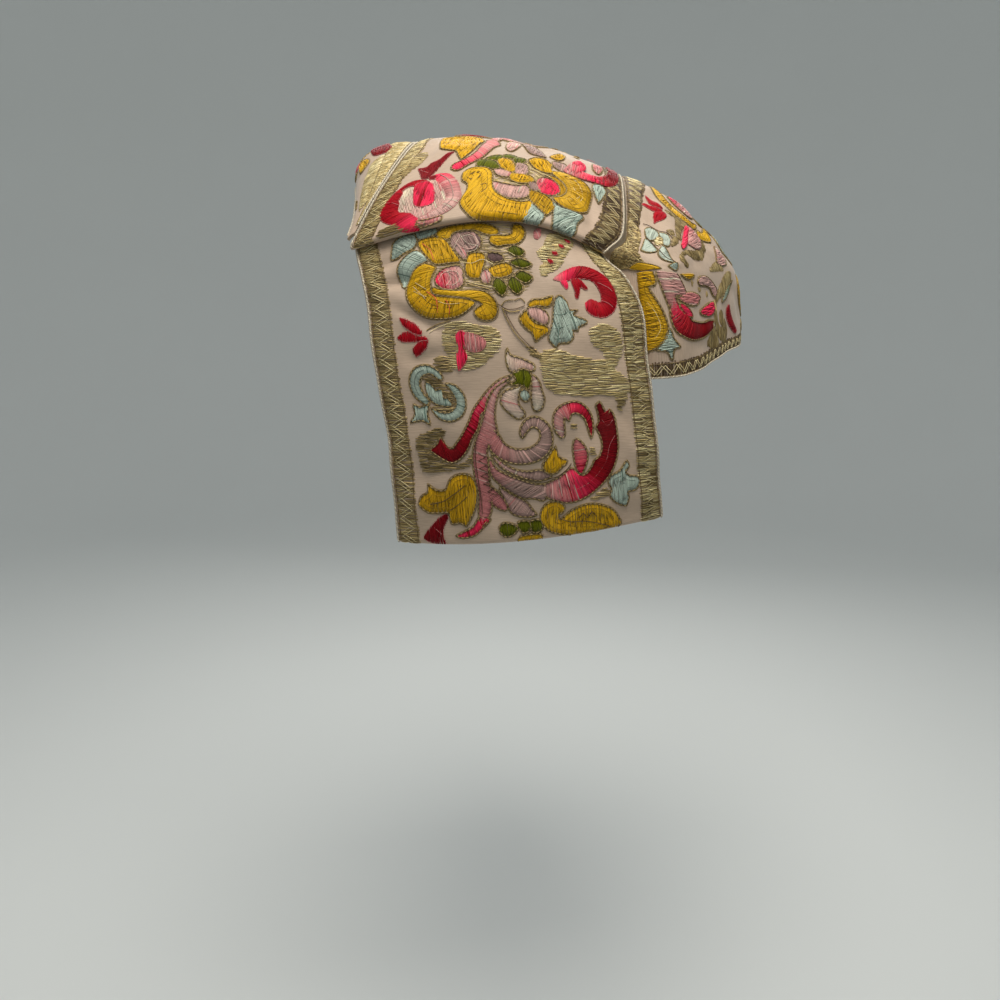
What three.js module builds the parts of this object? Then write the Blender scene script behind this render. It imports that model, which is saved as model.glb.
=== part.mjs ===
// A cap of wide embroidered ribbon: a crown that runs over the head from ear to ear and hangs as a flap
// at each side, a band round the back and a crescent along the front. Millimetres, +Z up, the front of
// the cap towards -Y, the wearer's left towards +X. The origin is the point where the head meets the
// inside of the crown.
import * as THREE from 'three';

// Driving dimensions
const WALL = 1.2;            // ribbon with its backing and embroidery
const TURN_RADIUS = 0.85;    // middle of the ribbon where it is folded back on itself
const HEM_TURN = 9;          // ribbon turned in at the foot of a flap

// Steps of the faceted walls
const ACROSS_STEPS = 14;     // front selvedge to back selvedge of the crown ribbon
const CROWN_STEPS = 10;      // middle of the crown to its side fold
const TURN_STEPS = 5;        // round a folded edge
const TUCK_STEPS = 2;        // the hidden run inside the side tuck
const FLAP_STEPS = 11;       // top of the flap to its foot
const HEM_STEPS = 2;
const BAND_STEPS = 13;       // middle of a band to its end
const SLOPE_STEPS = 7;       // back band, seam to crease
const WALL_STEPS = 5;        // back band, crease to hem
const CRESCENT_STEPS = 6;    // front band, seam to hem

// Crown sections on the outer face, from the middle of the cap to the side fold
const CROWN_COLUMNS = ['front', 'fore', 'aft', 'back'];
const CROWN_ROWS = [
  { front: [0, -18.9, -1.0], fore: [0, 5.4, 0.9], aft: [0, 29.7, -3.4], back: [0, 54, -12.3] },
  { front: [25, -20.4, -6.4], fore: [25, 3.5, -3.6], aft: [25, 29, -8.1], back: [25, 54.1, -18.2] },
  { front: [45.4, -27, -20.4], fore: [46.5, -1.5, -14.6], aft: [46, 25.5, -16.6], back: [45.2, 53.2, -32.6] },
  { front: [56, -33.8, -35.4], fore: [59, -6.6, -28.3], aft: [59, 20.4, -26.9], back: [51.1, 48.2, -37.8] },
];

// Depth of the side tuck under the fold, in the same columns
const TUCK_DEPTH = { front: 3, fore: 6, aft: 6, back: 3.5 };

// Flap sections on the outer face, from just below the fold to the foot
const FLAP_ROWS = [
  { front: [62.4, -28.9, -51.6], fore: [67.6, 0.3, -51], aft: [67, 29, -51], back: [58.4, 57.4, -52] },
  { front: [68, -25.2, -75], fore: [73.5, 3.8, -75], aft: [72.5, 33, -75], back: [64.4, 61.7, -75] },
  { front: [70.5, -21.3, -100], fore: [76, 7.6, -100], aft: [75, 37, -100], back: [67, 65, -100] },
  { front: [71, -19.2, -128.8], fore: [76, 9.8, -127.6], aft: [74.5, 39, -124.4], back: [66, 67.4, -120.6] },
];

// Back band sections on the outer face, from the middle of the back to the end under the flap
const SLOPE_COLUMNS = ['seam', 'slope', 'crease'];
const LOWER_COLUMNS = ['crease', 'wall', 'hem'];
const BACK_ROWS = [
  { seam: [0, 54.6, -12.4], slope: [0, 79.7, -25.8], crease: [0, 97, -45.4],
    wall: [0, 99.6, -58.5], hem: [0, 100.3, -71.6] },
  { seam: [25, 54.8, -18.3], slope: [26.8, 73.6, -28.8], crease: [28, 85.8, -45.1],
    wall: [29.4, 88.4, -58.7], hem: [30, 90, -72.8] },
  { seam: [45.3, 54, -32.9], slope: [49.4, 64.6, -36.8], crease: [51.6, 71.6, -44.3],
    wall: [54.4, 74.8, -59.5], hem: [55.4, 76.8, -75.8] },
  { seam: [49.3, 52, -38.6], slope: [53.6, 57.6, -40.2], crease: [56.8, 63.2, -43.2],
    wall: [60.6, 66.2, -59.5], hem: [62, 68.4, -76.9] },
  { seam: [46.5, 47.2, -43.6], slope: [48.5, 49, -44.3], crease: [50.8, 51, -45.2],
    wall: [57.4, 51.6, -62.5], hem: [60, 51, -78] },
];

// Front band sections on the outer face, from the middle of the front to the point at the side fold
const CRESCENT_COLUMNS = ['hem', 'shoulder', 'top', 'seam'];
const FRONT_ROWS = [
  { hem: [0, -41.2, -16.3], shoulder: [0, -38.4, -6], top: [0, -29.6, -1.5], seam: [0, -19.5, -1] },
  { hem: [25, -37.6, -21.9], shoulder: [25.6, -35.2, -13.2],
    top: [25.4, -28.8, -8.2], seam: [25, -21, -6.5] },
  { hem: [45, -34.8, -28.2], shoulder: [45.6, -33.2, -24.4],
    top: [45.4, -30.2, -21.8], seam: [45.2, -27.6, -20.6] },
  { hem: [53.4, -35.6, -34.2], shoulder: [53.6, -34.8, -33.4],
    top: [53.6, -34, -32.8], seam: [53.6, -33.1, -32.4] },
];

const BLUSH_ECRU = 0xc8b7a4;

// Smooth value between named columns that stand at equal steps, at w from 0 to 1
function columnWeights(count, w) {
  const last = count - 1;
  return Array.from({ length: count }, (_, k) => {
    let weight = 1;
    for (let other = 0; other < count; other += 1) {
      if (other !== k) weight *= (w * last - other) / (k - other);
    }
    return weight;
  });
}

function mirrorPoint(point) {
  return new THREE.Vector3(-point.x, point.y, point.z);
}

// Curve down one column of a table, s from 0 at the middle of the cap to 1 at the last row
function columnCurve(rows, name) {
  const points = rows.map((row) => new THREE.Vector3(...row[name]));
  const both = [...points.slice(1).reverse().map(mirrorPoint), ...points];
  const curve = new THREE.CatmullRomCurve3(both, false, 'catmullrom', 0.5);
  return (s) => curve.getPoint(0.5 + 0.5 * s);
}

// Outer face through the columns of a table, w from 0 at the first column to 1 at the last
function sheet(rows, columns) {
  const curves = columns.map((name) => columnCurve(rows, name));
  return (s, w) => {
    const weights = columnWeights(columns.length, w);
    const point = new THREE.Vector3();
    curves.forEach((curve, k) => point.addScaledVector(curve(s), weights[k]));
    return point;
  };
}

// Direction along s and outward normal of a sheet
function directions(surface, s, w) {
  const step = 1e-3;
  const s0 = Math.max(s - step, 0);
  const s1 = Math.min(s + step, 1);
  const w0 = Math.max(w - step, 0);
  const w1 = Math.min(w + step, 1);
  const along = surface(s1, w).sub(surface(s0, w)).divideScalar(s1 - s0);
  const across = surface(s, w1).sub(surface(s, w0));
  const speed = along.length();
  along.normalize();
  const normal = along.clone().cross(across).normalize();
  return { along, normal, speed };
}

// A layer is a point in the middle of the wall with the direction that its outer face looks in
function layer(surface, s, w, drop = 0, facing = 1) {
  const { normal } = directions(surface, s, w);
  const point = surface(s, w).addScaledVector(normal, -WALL / 2 - drop);
  return { point, normal: normal.clone().multiplyScalar(facing) };
}

// Half turn of the ribbon towards its inner side (sense 1) or its outer side (sense -1)
function halfTurn(start, along, sense) {
  const inward = start.normal.clone().multiplyScalar(-sense);
  const centre = start.point.clone().addScaledVector(inward, TURN_RADIUS);
  const layers = [];
  for (let k = 1; k <= TURN_STEPS; k += 1) {
    const angle = (Math.PI * k) / TURN_STEPS;
    const reach = inward.clone().multiplyScalar(-Math.cos(angle)).addScaledVector(along, Math.sin(angle));
    const point = centre.clone().addScaledVector(reach, TURN_RADIUS);
    layers.push({ point, normal: reach.multiplyScalar(sense) });
  }
  return layers;
}

const crownSheet = sheet(CROWN_ROWS, CROWN_COLUMNS);

function tuckDepth(w) {
  const weights = columnWeights(CROWN_COLUMNS.length, w);
  return CROWN_COLUMNS.reduce((sum, name, k) => sum + weights[k] * TUCK_DEPTH[name], 0);
}

// Half of the crown ribbon at w: crown, side tuck, flap and turned hem, as layers from the middle out
function crownHalf(w) {
  const layers = [];
  for (let k = 0; k <= CROWN_STEPS; k += 1) layers.push(layer(crownSheet, k / CROWN_STEPS, w));

  const fold = directions(crownSheet, 1, w);
  const sTop = 1 - tuckDepth(w) / fold.speed;
  layers.push(...halfTurn(layers.at(-1), fold.along, 1));
  for (let k = 1; k <= TUCK_STEPS; k += 1) {
    const s = 1 + ((sTop - 1) * k) / TUCK_STEPS;
    layers.push(layer(crownSheet, s, w, 2 * TURN_RADIUS, -1));
  }
  const top = directions(crownSheet, sTop, w);
  layers.push(...halfTurn(layers.at(-1), top.along.clone().negate(), -1));

  const flapSheet = flapSurface(sTop);
  for (let k = 1; k <= FLAP_STEPS; k += 1) layers.push(layer(flapSheet, k / FLAP_STEPS, w));
  const foot = directions(flapSheet, 1, w);
  layers.push(...halfTurn(layers.at(-1), foot.along, 1));
  for (let k = 1; k <= HEM_STEPS; k += 1) {
    const s = 1 - (HEM_TURN / foot.speed) * (k / HEM_STEPS);
    layers.push(layer(flapSheet, s, w, 2 * TURN_RADIUS, -1));
  }
  return layers;
}

// Outer face of the flap: it leaves the top of the tuck, passes under the fold and hangs to its foot
function flapSurface(sTop) {
  return (s, w) => {
    const weights = columnWeights(CROWN_COLUMNS.length, w);
    const lead = [sTop, 1].map((sCrown) => {
      const { normal } = directions(crownSheet, sCrown, w);
      return crownSheet(sCrown, w).addScaledVector(normal, -4 * TURN_RADIUS);
    });
    const hang = FLAP_ROWS.map((row) => {
      const point = new THREE.Vector3();
      CROWN_COLUMNS.forEach((name, k) => point.addScaledVector(new THREE.Vector3(...row[name]), weights[k]));
      return point;
    });
    return new THREE.CatmullRomCurve3([...lead, ...hang], false, 'catmullrom', 0.5).getPoint(s);
  };
}

// Closed wall from strips of layers that run from the middle of the cap to one side
function wallFromHalves(strips) {
  const flip = ({ point, normal }) => ({ point: mirrorPoint(point), normal: mirrorPoint(normal) });
  const whole = strips.map((strip) => [...strip.slice(1).reverse().map(flip), ...strip]);
  const columns = whole.length;
  const rows = whole[0].length;
  const positions = [];
  for (const side of [0.5, -0.5]) {
    for (const strip of whole) {
      for (const { point, normal } of strip) {
        positions.push(...point.clone().addScaledVector(normal, side * WALL).toArray());
      }
    }
  }
  const outer = (column, row) => column * rows + row;
  const inner = (column, row) => columns * rows + outer(column, row);
  const index = [];
  const quad = (a, b, c, d) => index.push(a, b, c, a, c, d);
  for (let c = 0; c + 1 < columns; c += 1) {
    for (let r = 0; r + 1 < rows; r += 1) {
      quad(outer(c, r), outer(c, r + 1), outer(c + 1, r + 1), outer(c + 1, r));
      quad(inner(c, r), inner(c + 1, r), inner(c + 1, r + 1), inner(c, r + 1));
    }
    quad(outer(c, 0), outer(c + 1, 0), inner(c + 1, 0), inner(c, 0));
    quad(outer(c, rows - 1), inner(c, rows - 1), inner(c + 1, rows - 1), outer(c + 1, rows - 1));
  }
  for (let r = 0; r + 1 < rows; r += 1) {
    quad(outer(0, r), inner(0, r), inner(0, r + 1), outer(0, r + 1));
    quad(outer(columns - 1, r), outer(columns - 1, r + 1), inner(columns - 1, r + 1), inner(columns - 1, r));
  }
  const geometry = new THREE.BufferGeometry();
  geometry.setAttribute('position', new THREE.Float32BufferAttribute(positions, 3));
  geometry.setIndex(index);
  geometry.computeVertexNormals();
  return geometry;
}

function crownRibbon() {
  const strips = [];
  for (let k = 0; k <= ACROSS_STEPS; k += 1) strips.push(crownHalf(k / ACROSS_STEPS));
  return wallFromHalves(strips);
}

function bandStrip(surface, w) {
  return Array.from({ length: BAND_STEPS + 1 }, (_, k) => layer(surface, k / BAND_STEPS, w));
}

// The two faces of the back band share one strip of layers along the crease, with the mean normal
function backBand() {
  const slope = sheet(BACK_ROWS, SLOPE_COLUMNS);
  const lower = sheet(BACK_ROWS, LOWER_COLUMNS);
  const strips = [];
  for (let k = 0; k < SLOPE_STEPS; k += 1) strips.push(bandStrip(slope, k / SLOPE_STEPS));
  strips.push(Array.from({ length: BAND_STEPS + 1 }, (_, k) => {
    const s = k / BAND_STEPS;
    const above = directions(slope, s, 1).normal;
    const below = directions(lower, s, 0).normal;
    const mean = above.clone().add(below).normalize();
    const point = lower(s, 0).addScaledVector(mean, -WALL / 2);
    return { point, normal: mean };
  }));
  for (let k = 1; k <= WALL_STEPS; k += 1) strips.push(bandStrip(lower, k / WALL_STEPS));
  return wallFromHalves(strips);
}

function frontBand() {
  const crescent = sheet(FRONT_ROWS, CRESCENT_COLUMNS);
  const strips = [];
  for (let k = 0; k <= CRESCENT_STEPS; k += 1) strips.push(bandStrip(crescent, k / CRESCENT_STEPS));
  return wallFromHalves(strips);
}

function piece(name, geometry) {
  const material = new THREE.MeshStandardMaterial({ color: BLUSH_ECRU, roughness: 0.75, metalness: 0 });
  const mesh = new THREE.Mesh(geometry, material);
  mesh.name = name;
  return mesh;
}

const cap = new THREE.Group();
cap.add(piece('crown_ribbon', crownRibbon()));
cap.add(piece('back_band', backBand()));
cap.add(piece('front_band', frontBand()));

export default cap;
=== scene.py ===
"""Brocade ribbon cap with side flaps: three ribbon walls, their embroidery, selvedge cords and a stage."""

import math
from collections import namedtuple

import bpy
import numpy as np
from bpy.props import FloatProperty, FloatVectorProperty, IntProperty, PointerProperty
from mathutils import Matrix, Vector


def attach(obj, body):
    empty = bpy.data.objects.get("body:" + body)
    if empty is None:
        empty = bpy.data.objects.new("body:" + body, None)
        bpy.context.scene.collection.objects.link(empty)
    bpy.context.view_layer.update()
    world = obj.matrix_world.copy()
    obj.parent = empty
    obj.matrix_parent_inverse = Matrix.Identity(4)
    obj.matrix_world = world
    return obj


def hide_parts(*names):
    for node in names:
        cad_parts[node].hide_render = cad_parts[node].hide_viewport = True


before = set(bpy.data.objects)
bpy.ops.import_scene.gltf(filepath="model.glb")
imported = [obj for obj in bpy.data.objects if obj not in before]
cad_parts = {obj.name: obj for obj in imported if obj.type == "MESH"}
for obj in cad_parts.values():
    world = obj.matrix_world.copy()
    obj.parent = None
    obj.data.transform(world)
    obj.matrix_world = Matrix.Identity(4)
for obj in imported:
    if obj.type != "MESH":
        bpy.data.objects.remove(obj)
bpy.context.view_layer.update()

bl_info = {
    "name": "Brocade ribbon cap",
    "version": (1, 0, 0),
    "blender": (4, 5, 0),
    "location": "3D View > Sidebar > Cap",
    "description": "Lays, embroiders and edges the ribbons of a small brocade cap, and sets its stage",
    "category": "Object",
}

MM = 0.001
TINY = 1e-9

# The outer face of each ribbon of the left half, as in the CAD model: x, y, z in mm.
# A row runs across the ribbon, and the rows follow its length from the middle plane outwards.
# Crown columns: front selvedge, fore, aft, back selvedge.
CROWN_ROWS = np.array([
    [[0, -18.9, -1.0], [0, 5.4, 0.9], [0, 29.7, -3.4], [0, 54, -12.3]],
    [[25, -20.4, -6.4], [25, 3.5, -3.6], [25, 29, -8.1], [25, 54.1, -18.2]],
    [[45.4, -27, -20.4], [46.5, -1.5, -14.6], [46, 25.5, -16.6], [45.2, 53.2, -32.6]],
    [[56, -33.8, -35.4], [59, -6.6, -28.3], [59, 20.4, -26.9], [51.1, 48.2, -37.8]],
])
# Depth of the sewn tuck above each flap, at the same columns.
TUCK_DEPTHS = np.array([3, 6, 6, 3.5])
FLAP_ROWS = np.array([
    [[62.4, -28.9, -51.6], [67.6, 0.3, -51], [67, 29, -51], [58.4, 57.4, -52]],
    [[68, -25.2, -75], [73.5, 3.8, -75], [72.5, 33, -75], [64.4, 61.7, -75]],
    [[70.5, -21.3, -100], [76, 7.6, -100], [75, 37, -100], [67, 65, -100]],
    [[71, -19.2, -128.8], [76, 9.8, -127.6], [74.5, 39, -124.4], [66, 67.4, -120.6]],
])
# Back band columns: seam, slope, crease, wall, hem.
BACK_ROWS = np.array([
    [[0, 54.6, -12.4], [0, 79.7, -25.8], [0, 97, -45.4], [0, 99.6, -58.5], [0, 100.3, -71.6]],
    [[25, 54.8, -18.3], [26.8, 73.6, -28.8], [28, 85.8, -45.1], [29.4, 88.4, -58.7], [30, 90, -72.8]],
    [[45.3, 54, -32.9], [49.4, 64.6, -36.8], [51.6, 71.6, -44.3], [54.4, 74.8, -59.5], [55.4, 76.8, -75.8]],
    [[49.3, 52, -38.6], [53.6, 57.6, -40.2], [56.8, 63.2, -43.2], [60.6, 66.2, -59.5], [62, 68.4, -76.9]],
    [[46.5, 47.2, -43.6], [48.5, 49, -44.3], [50.8, 51, -45.2], [57.4, 51.6, -62.5], [60, 51, -78]],
])
# Front band columns: hem, shoulder, top, seam.
FRONT_ROWS = np.array([
    [[0, -41.2, -16.3], [0, -38.4, -6], [0, -29.6, -1.5], [0, -19.5, -1]],
    [[25, -37.6, -21.9], [25.6, -35.2, -13.2], [25.4, -28.8, -8.2], [25, -21, -6.5]],
    [[45, -34.8, -28.2], [45.6, -33.2, -24.4], [45.4, -30.2, -21.8], [45.2, -27.6, -20.6]],
    [[53.4, -35.6, -34.2], [53.6, -34.8, -33.4], [53.6, -34, -32.8], [53.6, -33.1, -32.4]],
])
# Thickness of the CAD walls, radius of a turn at the ribbon's middle layer, and depth of a flap's hem, in mm.
CAD_WALL = 1.2
TURN_RADIUS = 0.85
HEM_TURN = 9.0

# Widths in mm that the charts below count across, from the first column to the last.
RIBBON_WIDTH = 82.0
SLOPE_WIDTH = 53.0
WALL_WIDTH = 29.0
FRONT_WIDTH = 30.0

Motif = namedtuple("Motif", "stitch dyes points sharp tips angle axis couched lift")


def read_points(text):
    """Points written as u,v in mm, which are sharp corners, marked by !, and which are tips, marked by *."""
    words = text.split()
    points = np.array([[float(x) for x in word.rstrip("!*").split(",")] for word in words])
    sharp = np.array(["!" in word for word in words])
    tips = [i for i, word in enumerate(words) if "*" in word]
    return points, sharp, tips


def silk(dyes, outline, angle=90, axis=None, couched=True, lift=0.0):
    """A motif filled with floss, from side to side between two tips, or else at an angle from u.

    The dyes follow one another along axis, u1 v1 u2 v2, and lift raises the stitches, in mm.
    """
    return Motif("silk", dyes.split(), *read_points(outline), angle, axis, couched, lift)


def lame(tone, outline, lift=0.0):
    """A patch of flat gold thread laid across the ribbon."""
    return Motif("gold", LAME_TONES[tone].split(), *read_points(outline), 0, None, False, lift)


def line(dye, outline, lift=0.3):
    """A single thread sewn down along an open line."""
    return Motif("line", [dye], *read_points(outline), 0, None, False, lift)


def seed(dye, u, v, half_u, half_v):
    """A small oval of floss."""
    corners = [(u - half_u, v), (u, v - half_v), (u + half_u, v), (u, v + half_v)]
    return silk(dye, " ".join(f"{a:.2f},{b:.2f}" for a, b in corners))


# The gold threads of a patch are drawn from these, a word for each share.
LAME_TONES = {
    "light": "brass gilt brass",
    "mid": "gold brass gold bronze",
    "dark": "bronze bronze gold",
    "deep": "umber umber bronze",
    "mixed": "gilt brass bronze",
}

# The repeat on a flap: u from the front selvedge, v down from the fold.
FLAP_CHART = [
    lame("mid", "20,3 29,0 44,0 54,2 52,9 53,14 52,20 47,25 40,25.4 33,24 23,23 21,14", lift=-0.3),
    silk("aqua", "10.5,9.6!* 11.6,5.5 12.5,2.2 15,0.4 18,0.3 20,1* 19.8,4 18.3,6.4 15.5,7.8 13,9.2"),
    silk("aqua", "20.3,0 26,-1 27,1.8 24.5,3 20.5,3.2", 115),
    silk("aqua", "12.3,22.3!* 11.6,18 12,14.5 13.5,11.5 16,9 18.5,7.6 20.3,8.8* 21.8,12 20.5,13 18,14.5"
         " 15.8,17.5 14.2,20.5 13.2,22.5"),
    silk("mustard", "20.4,4 24,3.2 28,4 29.5,6.5 30.5,10 31.5,12.5 31.3,14 28,14 23.8,14 22,11 20.6,7.5"),
    silk("mustard", "26.8,4.6* 27,1.8 30,0.5 36,0.4 41,0.5 44.6,1.2 46.8,3.2 45.4,5* 42,4.4 39.4,3 35,2.5"
         " 31.8,3.2 30.2,5"),
    silk("mustard", "42.8,7.2* 44.5,8.8 47.5,8.4 51,8 54,5.8 55.6,3 55,0.8* 53,0.6 51.6,2 51,4 48.5,5"
         " 45,4.8 43.5,5.2"),
    silk("dusk mauve blush", "31.8,3.6 35,2.9 38.8,3.5 40.2,6.4 38.6,9.4 35,10.9 33.2,13.4 31.4,10.6 30.2,7",
         80, axis=(36, 2, 33, 13)),
    line("blush", "31.4,5.2 32.6,8.4 36,9.6 39,7.6", 0.6),
    line("blush", "33,9.8 32.8,6.4 35.4,4.2 38.4,5", 0.6),
    line("blush", "36.4,3.4 38.6,5.4 37.6,9 35,9.8", 0.6),
    line("cream", "31,9 33.4,5.6 37,4.6 39,7 37.4,10 34.4,10.6", 0.6),
    line("cream", "34,4 35.4,7.4 38.4,8.6", 0.6),
    line("rose", "21.4,5.4 23.4,8.4 23.6,12.6", 0.6),
    line("gilt", "31.4,14.2 35,14.8 38.6,13.4 41.4,15.2", 0.6),
    line("gilt", "40.6,9.4 43,9.8 46.6,10.6 49,12.4", 0.4),
    silk("mustard", "35,11.5 37.5,10.8 39.5,11.3 39,14 37.2,17.5 35.8,20 33.2,19.7 32.4,18 33,15", 100),
    silk("mustard", "39.5,16.5 43,15 46,14.8 46.8,17 45,19 41,20 39.7,18.6"),
    silk("blush", "37.5,17.5 39.2,16.8 39.5,19.5 38.5,21.8 36.5,21.6 36.4,19.5"),
    silk("dusk", "41,11 44.5,11.5 45,13.5 42,14.3 40.5,13.2"),
    seed("olive", 41.3, 22.8, 2.1, 3),
    seed("olive", 46, 22.2, 2.2, 2.9),
    seed("olive", 49.4, 19.3, 2.6, 2),
    seed("olive", 50, 14.8, 3.3, 1.7),
    seed("olive", 50, 10.6, 2.6, 2),
    silk("mustard", "20.5,13.6* 17.3,15.6 15,19 13.4,23 13.2,27 14.8,30.6 18,32.9 22.5,33.3 27,32.6"
         " 30.5,30.6 33,28* 30,26.9 25,26.4 21.2,25.6 21,22 22,18.5 23.6,15.2"),
    silk("mustard", "21.2,23.2* 24.5,24 29,24.4 33,24.1 36.5,24.6 38.8,27 39.2,30 38,32.6 35.6,33.6"
         " 33.2,32.9 32.4,31* 33.6,29.6 35,28.6 34.4,27.2 30,26.6 25,26.1 21.5,25.4", lift=0.15),
    silk("rose pink blush", "22.8,19.5 24.5,17 27,15.6 31,15.4 31.2,19 30.6,22 27.5,24 24.5,23.7 22.8,22",
         axis=(23, 20, 31, 20)),
    line("blush", "24,21.4 24.8,18.4 28,17 30.4,18.6 29.6,21.6", 0.6),
    line("blush", "25,16.8 28.6,18.6 28.6,21.8 25.6,22.4", 0.6),
    line("cream", "23.6,20.6 25.8,17.6 29.4,17.4 30,20.4 27.4,22.6", 0.6),
    line("cream", "26.6,16.4 27.4,20 25.4,22.8", 0.6),
    line("cream", "15.6,22.6 17,24.6 18.6,27", 0.6),
    line("rose", "19.4,24.6 21.8,27 21.6,31.4", 0.6),
    line("rose", "24.6,27.4 25.4,29.6 25,32", 0.6),
    line("gilt", "31.5,20.6 34,21.8 37,22.6 40,23.4"),
    line("gold", "31.8,21.8 34.6,22.8 38,23.8"),
    line("brass", "16.4,21 18,22.6 19.4,23.8", 0.6),
    line("brass", "15.4,24.2 17.4,25.6 19.2,26.4", 0.6),
    line("brass", "22.4,28 25,28.8 28.6,28.6", 0.6),
    line("bronze", "40.4,29 42,27.4 44.4,27"),
    line("bronze", "44.6,27.2 46.6,26.4 47.6,27.8"),
    line("umber", "39.6,28.4 42,30 44.8,29.8 47.4,28.8"),
    line("gold", "40.8,29.8 43,30.8 45.6,30.4"),
    silk("crimson", "9.8,33.2! 12,33.8 14.6,35.4 16,37.4 15.9,38.4 14,38.2 12,36.9 10.5,35.4",
         couched=False),
    silk("crimson", "8.3,39.6! 10,38.2 12,37.6 14.5,38.8 17,39.1 18,39.9! 15,40.4 11.5,40.8 9.5,40.6",
         couched=False),
    silk("crimson", "17.8,40.2! 15.5,40.4 13.6,41.8 12.6,43.4 13.4,45.2! 15.2,44 17,42.4", couched=False),
    lame("light", "24,35 28,34 32,35 36.5,35.6 38.6,38 38.4,41.5 36,44.5 32.5,47.5 28,49 24,48.5 23,44"
         " 22.2,39.5"),
    lame("mid", "19,45.5 22,44.6 24,47 23.5,49.5 20,49.2"),
    silk("rose", "26,38.5 27.2,37 28.6,37.4 28.4,40 28.2,42.5 28.8,45 27.6,47.4 25.9,49.3! 25.6,47"
         " 25.6,44.6 26.6,42.5 26.2,40.5", couched=False, lift=0.4),
    silk("pink", "28.6,37.6 31.5,38 34,39.2 34.6,41 33,43 30.5,43.4 28.6,42.4 28.6,40", couched=False,
         lift=0.4),
    silk("cream blush", "40.4,42! 41.2,44.2 44.5,45.4 47.6,47.2 47.2,49 44,48.6 42.5,49.6 40.6,49 40,46",
         axis=(40, 42, 46, 49)),
    silk("olive", "41.3,49.6 44,48.3 46.2,49.4 46.3,52.4 45,54.9! 43.4,53.6 40,53.4! 42,51.8"),
    silk("blush cream", "46.8,50.5* 48.4,52.2 48.9,55.5 49.2,58 48,60.8 46,61.5* 45.6,58 46.2,54.5",
         axis=(47, 51, 47, 61)),
    silk("blush cream", "36.8,57.6 38.5,55.3 41,54.6 43.2,53.8!* 42,56.5 41.6,59.5 43,62.5 41,64* 38.8,62.4"
         " 37,60", axis=(37, 58, 43, 58)),
    silk("aqua", "42.8,55.4 44.6,55 45.2,57.2 43.8,58.6 42.6,57.4"),
    silk("pink rose crimson", "58,20!* 60.5,18 63.5,16.2 67,14.7 70.5,14.2 73.6,15.6 75.3,19 75.6,23"
         " 74.8,27.5 73,31 70,32.8 67,32.4 65.2,30.4 65.4,28* 67.4,26.6 69.8,27.8 70.8,25.5 70.6,22"
         " 69.6,19.8 67,19.2 63.5,19.6 61,20.6", axis=(58, 20, 67, 20), couched=False),
    silk("crimson", "63.6,19.6 66,19 67.6,22.6 66.5,23.2 65.6,22.2 64.6,24.6 63.6,26.4 62.9,26 63.4,23",
         couched=False),
    silk("rose", "60,20.3 62,19.8 61.8,22.6 60.8,23", couched=False),
    line("pink", "71,20.8 73.5,22.6 74.2,24", 0.6),
    line("pink", "70.2,27.2 72,28.2 73,29.6", 0.6),
    lame("light", "57,10.5 60,7.5 62,4.5 64.5,1.5 68,0.5 71.5,1 70.5,4 67.5,8 64,12 61.5,15.5 57.5,17.5"
         " 55.5,19 55.6,16 57.5,14"),
    silk("crimson", "59,12.9 60.2,12.7 60.4,13.9 59.2,14.1", couched=False, lift=0.4),
    silk("crimson", "61.6,9.8 62.8,9.5 63,10.7 61.8,11", couched=False, lift=0.4),
    silk("crimson", "65.3,6.2 66.5,5.9 66.7,7.1 65.5,7.4", couched=False, lift=0.4),
    silk("crimson", "68.7,2.8 69.9,2.5 70.1,3.7 68.9,4", couched=False, lift=0.4),
    silk("pink", "58,4.6 59.5,1.5 61.5,0.8 60.5,3.6 58.8,5.2", couched=False),
    silk("mustard", "48.4,28.6 50,26.9 53,26.6 56.2,25.6! 55.6,27.6 54,29 51,28.8 49,29.4"),
    silk("blush", "48,29.8 50.5,29.2 53,30.6 53.6,33 52.4,34.8 50,33.8 48.2,32"),
    silk("mustard", "46.6,31 47.6,30.4 48,32.4 49.8,34.4 52.6,35.2 53,37 51,38.4 49,40! 48.4,37.6 46.4,35.6"
         " 45.2,33"),
    silk("aqua", "57,26.4 58.6,25.4 60,27.6 60.2,30 62.6,30.2! 61,31.6 64,33.4 64.4,34.4 62,35.6 61.6,36.8"
         " 60,36.6 60,38.8 58.4,40.4 55.8,40.6 54.8,42! 53,39.4 53.6,37 54.6,34.4 55.4,31 56,28.6", 80),
    line("slate", "55.5,31.4 57.6,31.6 59.5,31", 0.5),
    line("slate", "55,36 57.4,35.6 59.6,34.8", 0.5),
    line("slate", "57.6,27 57,31 56.4,35 55.4,40", 0.5),
    lame("light", "65,38 66.6,35.6 69.5,35 72.6,36.6 74.1,40 73.6,44.5 71.5,48 69.5,50 69,46.5 68.6,43.5"
         " 67.5,42.6 65.8,41.2"),
    lame("light", "50,44.6 53,42.4 57,43.2 60,44.6 64,45.6 69,46 70.6,48.6 73.6,51.5 74.8,54 73.8,56.6"
         " 70,57.4 66,56.8 62,57.2 57,56.6 53,56 50.4,53.5 50,49"),
    lame("mid", "70.2,57 73.6,57 72.4,60 71,62.2 71,59.4"),
    lame("mid", "46.6,41.4 49.2,43 50.2,45.4 47.6,44.4"),
    silk("aqua", "20.6,52* 19.8,49.6 16.6,47.8 13,48.6 10.8,51.6 10.4,55.2 11.6,58.4 14.4,60.4* 15.4,59.2"
         " 13.8,56.6 13.3,53.6 14.6,51.2 17.2,50.4 19.4,52"),
    silk("aqua", "15.2,53.2 16.8,53.8 18,55.6 19.8,55.2 20,58 21.2,58 22.2,60.2 20,60.6 17,59.8 15.4,57.6"),
    silk("aqua", "21.2,53.4!* 24,54 26,57 26.1,60.4 24.6,63.4 21.4,65.2 18,64.6 15.6,61.4!* 18.4,62.6"
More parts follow.
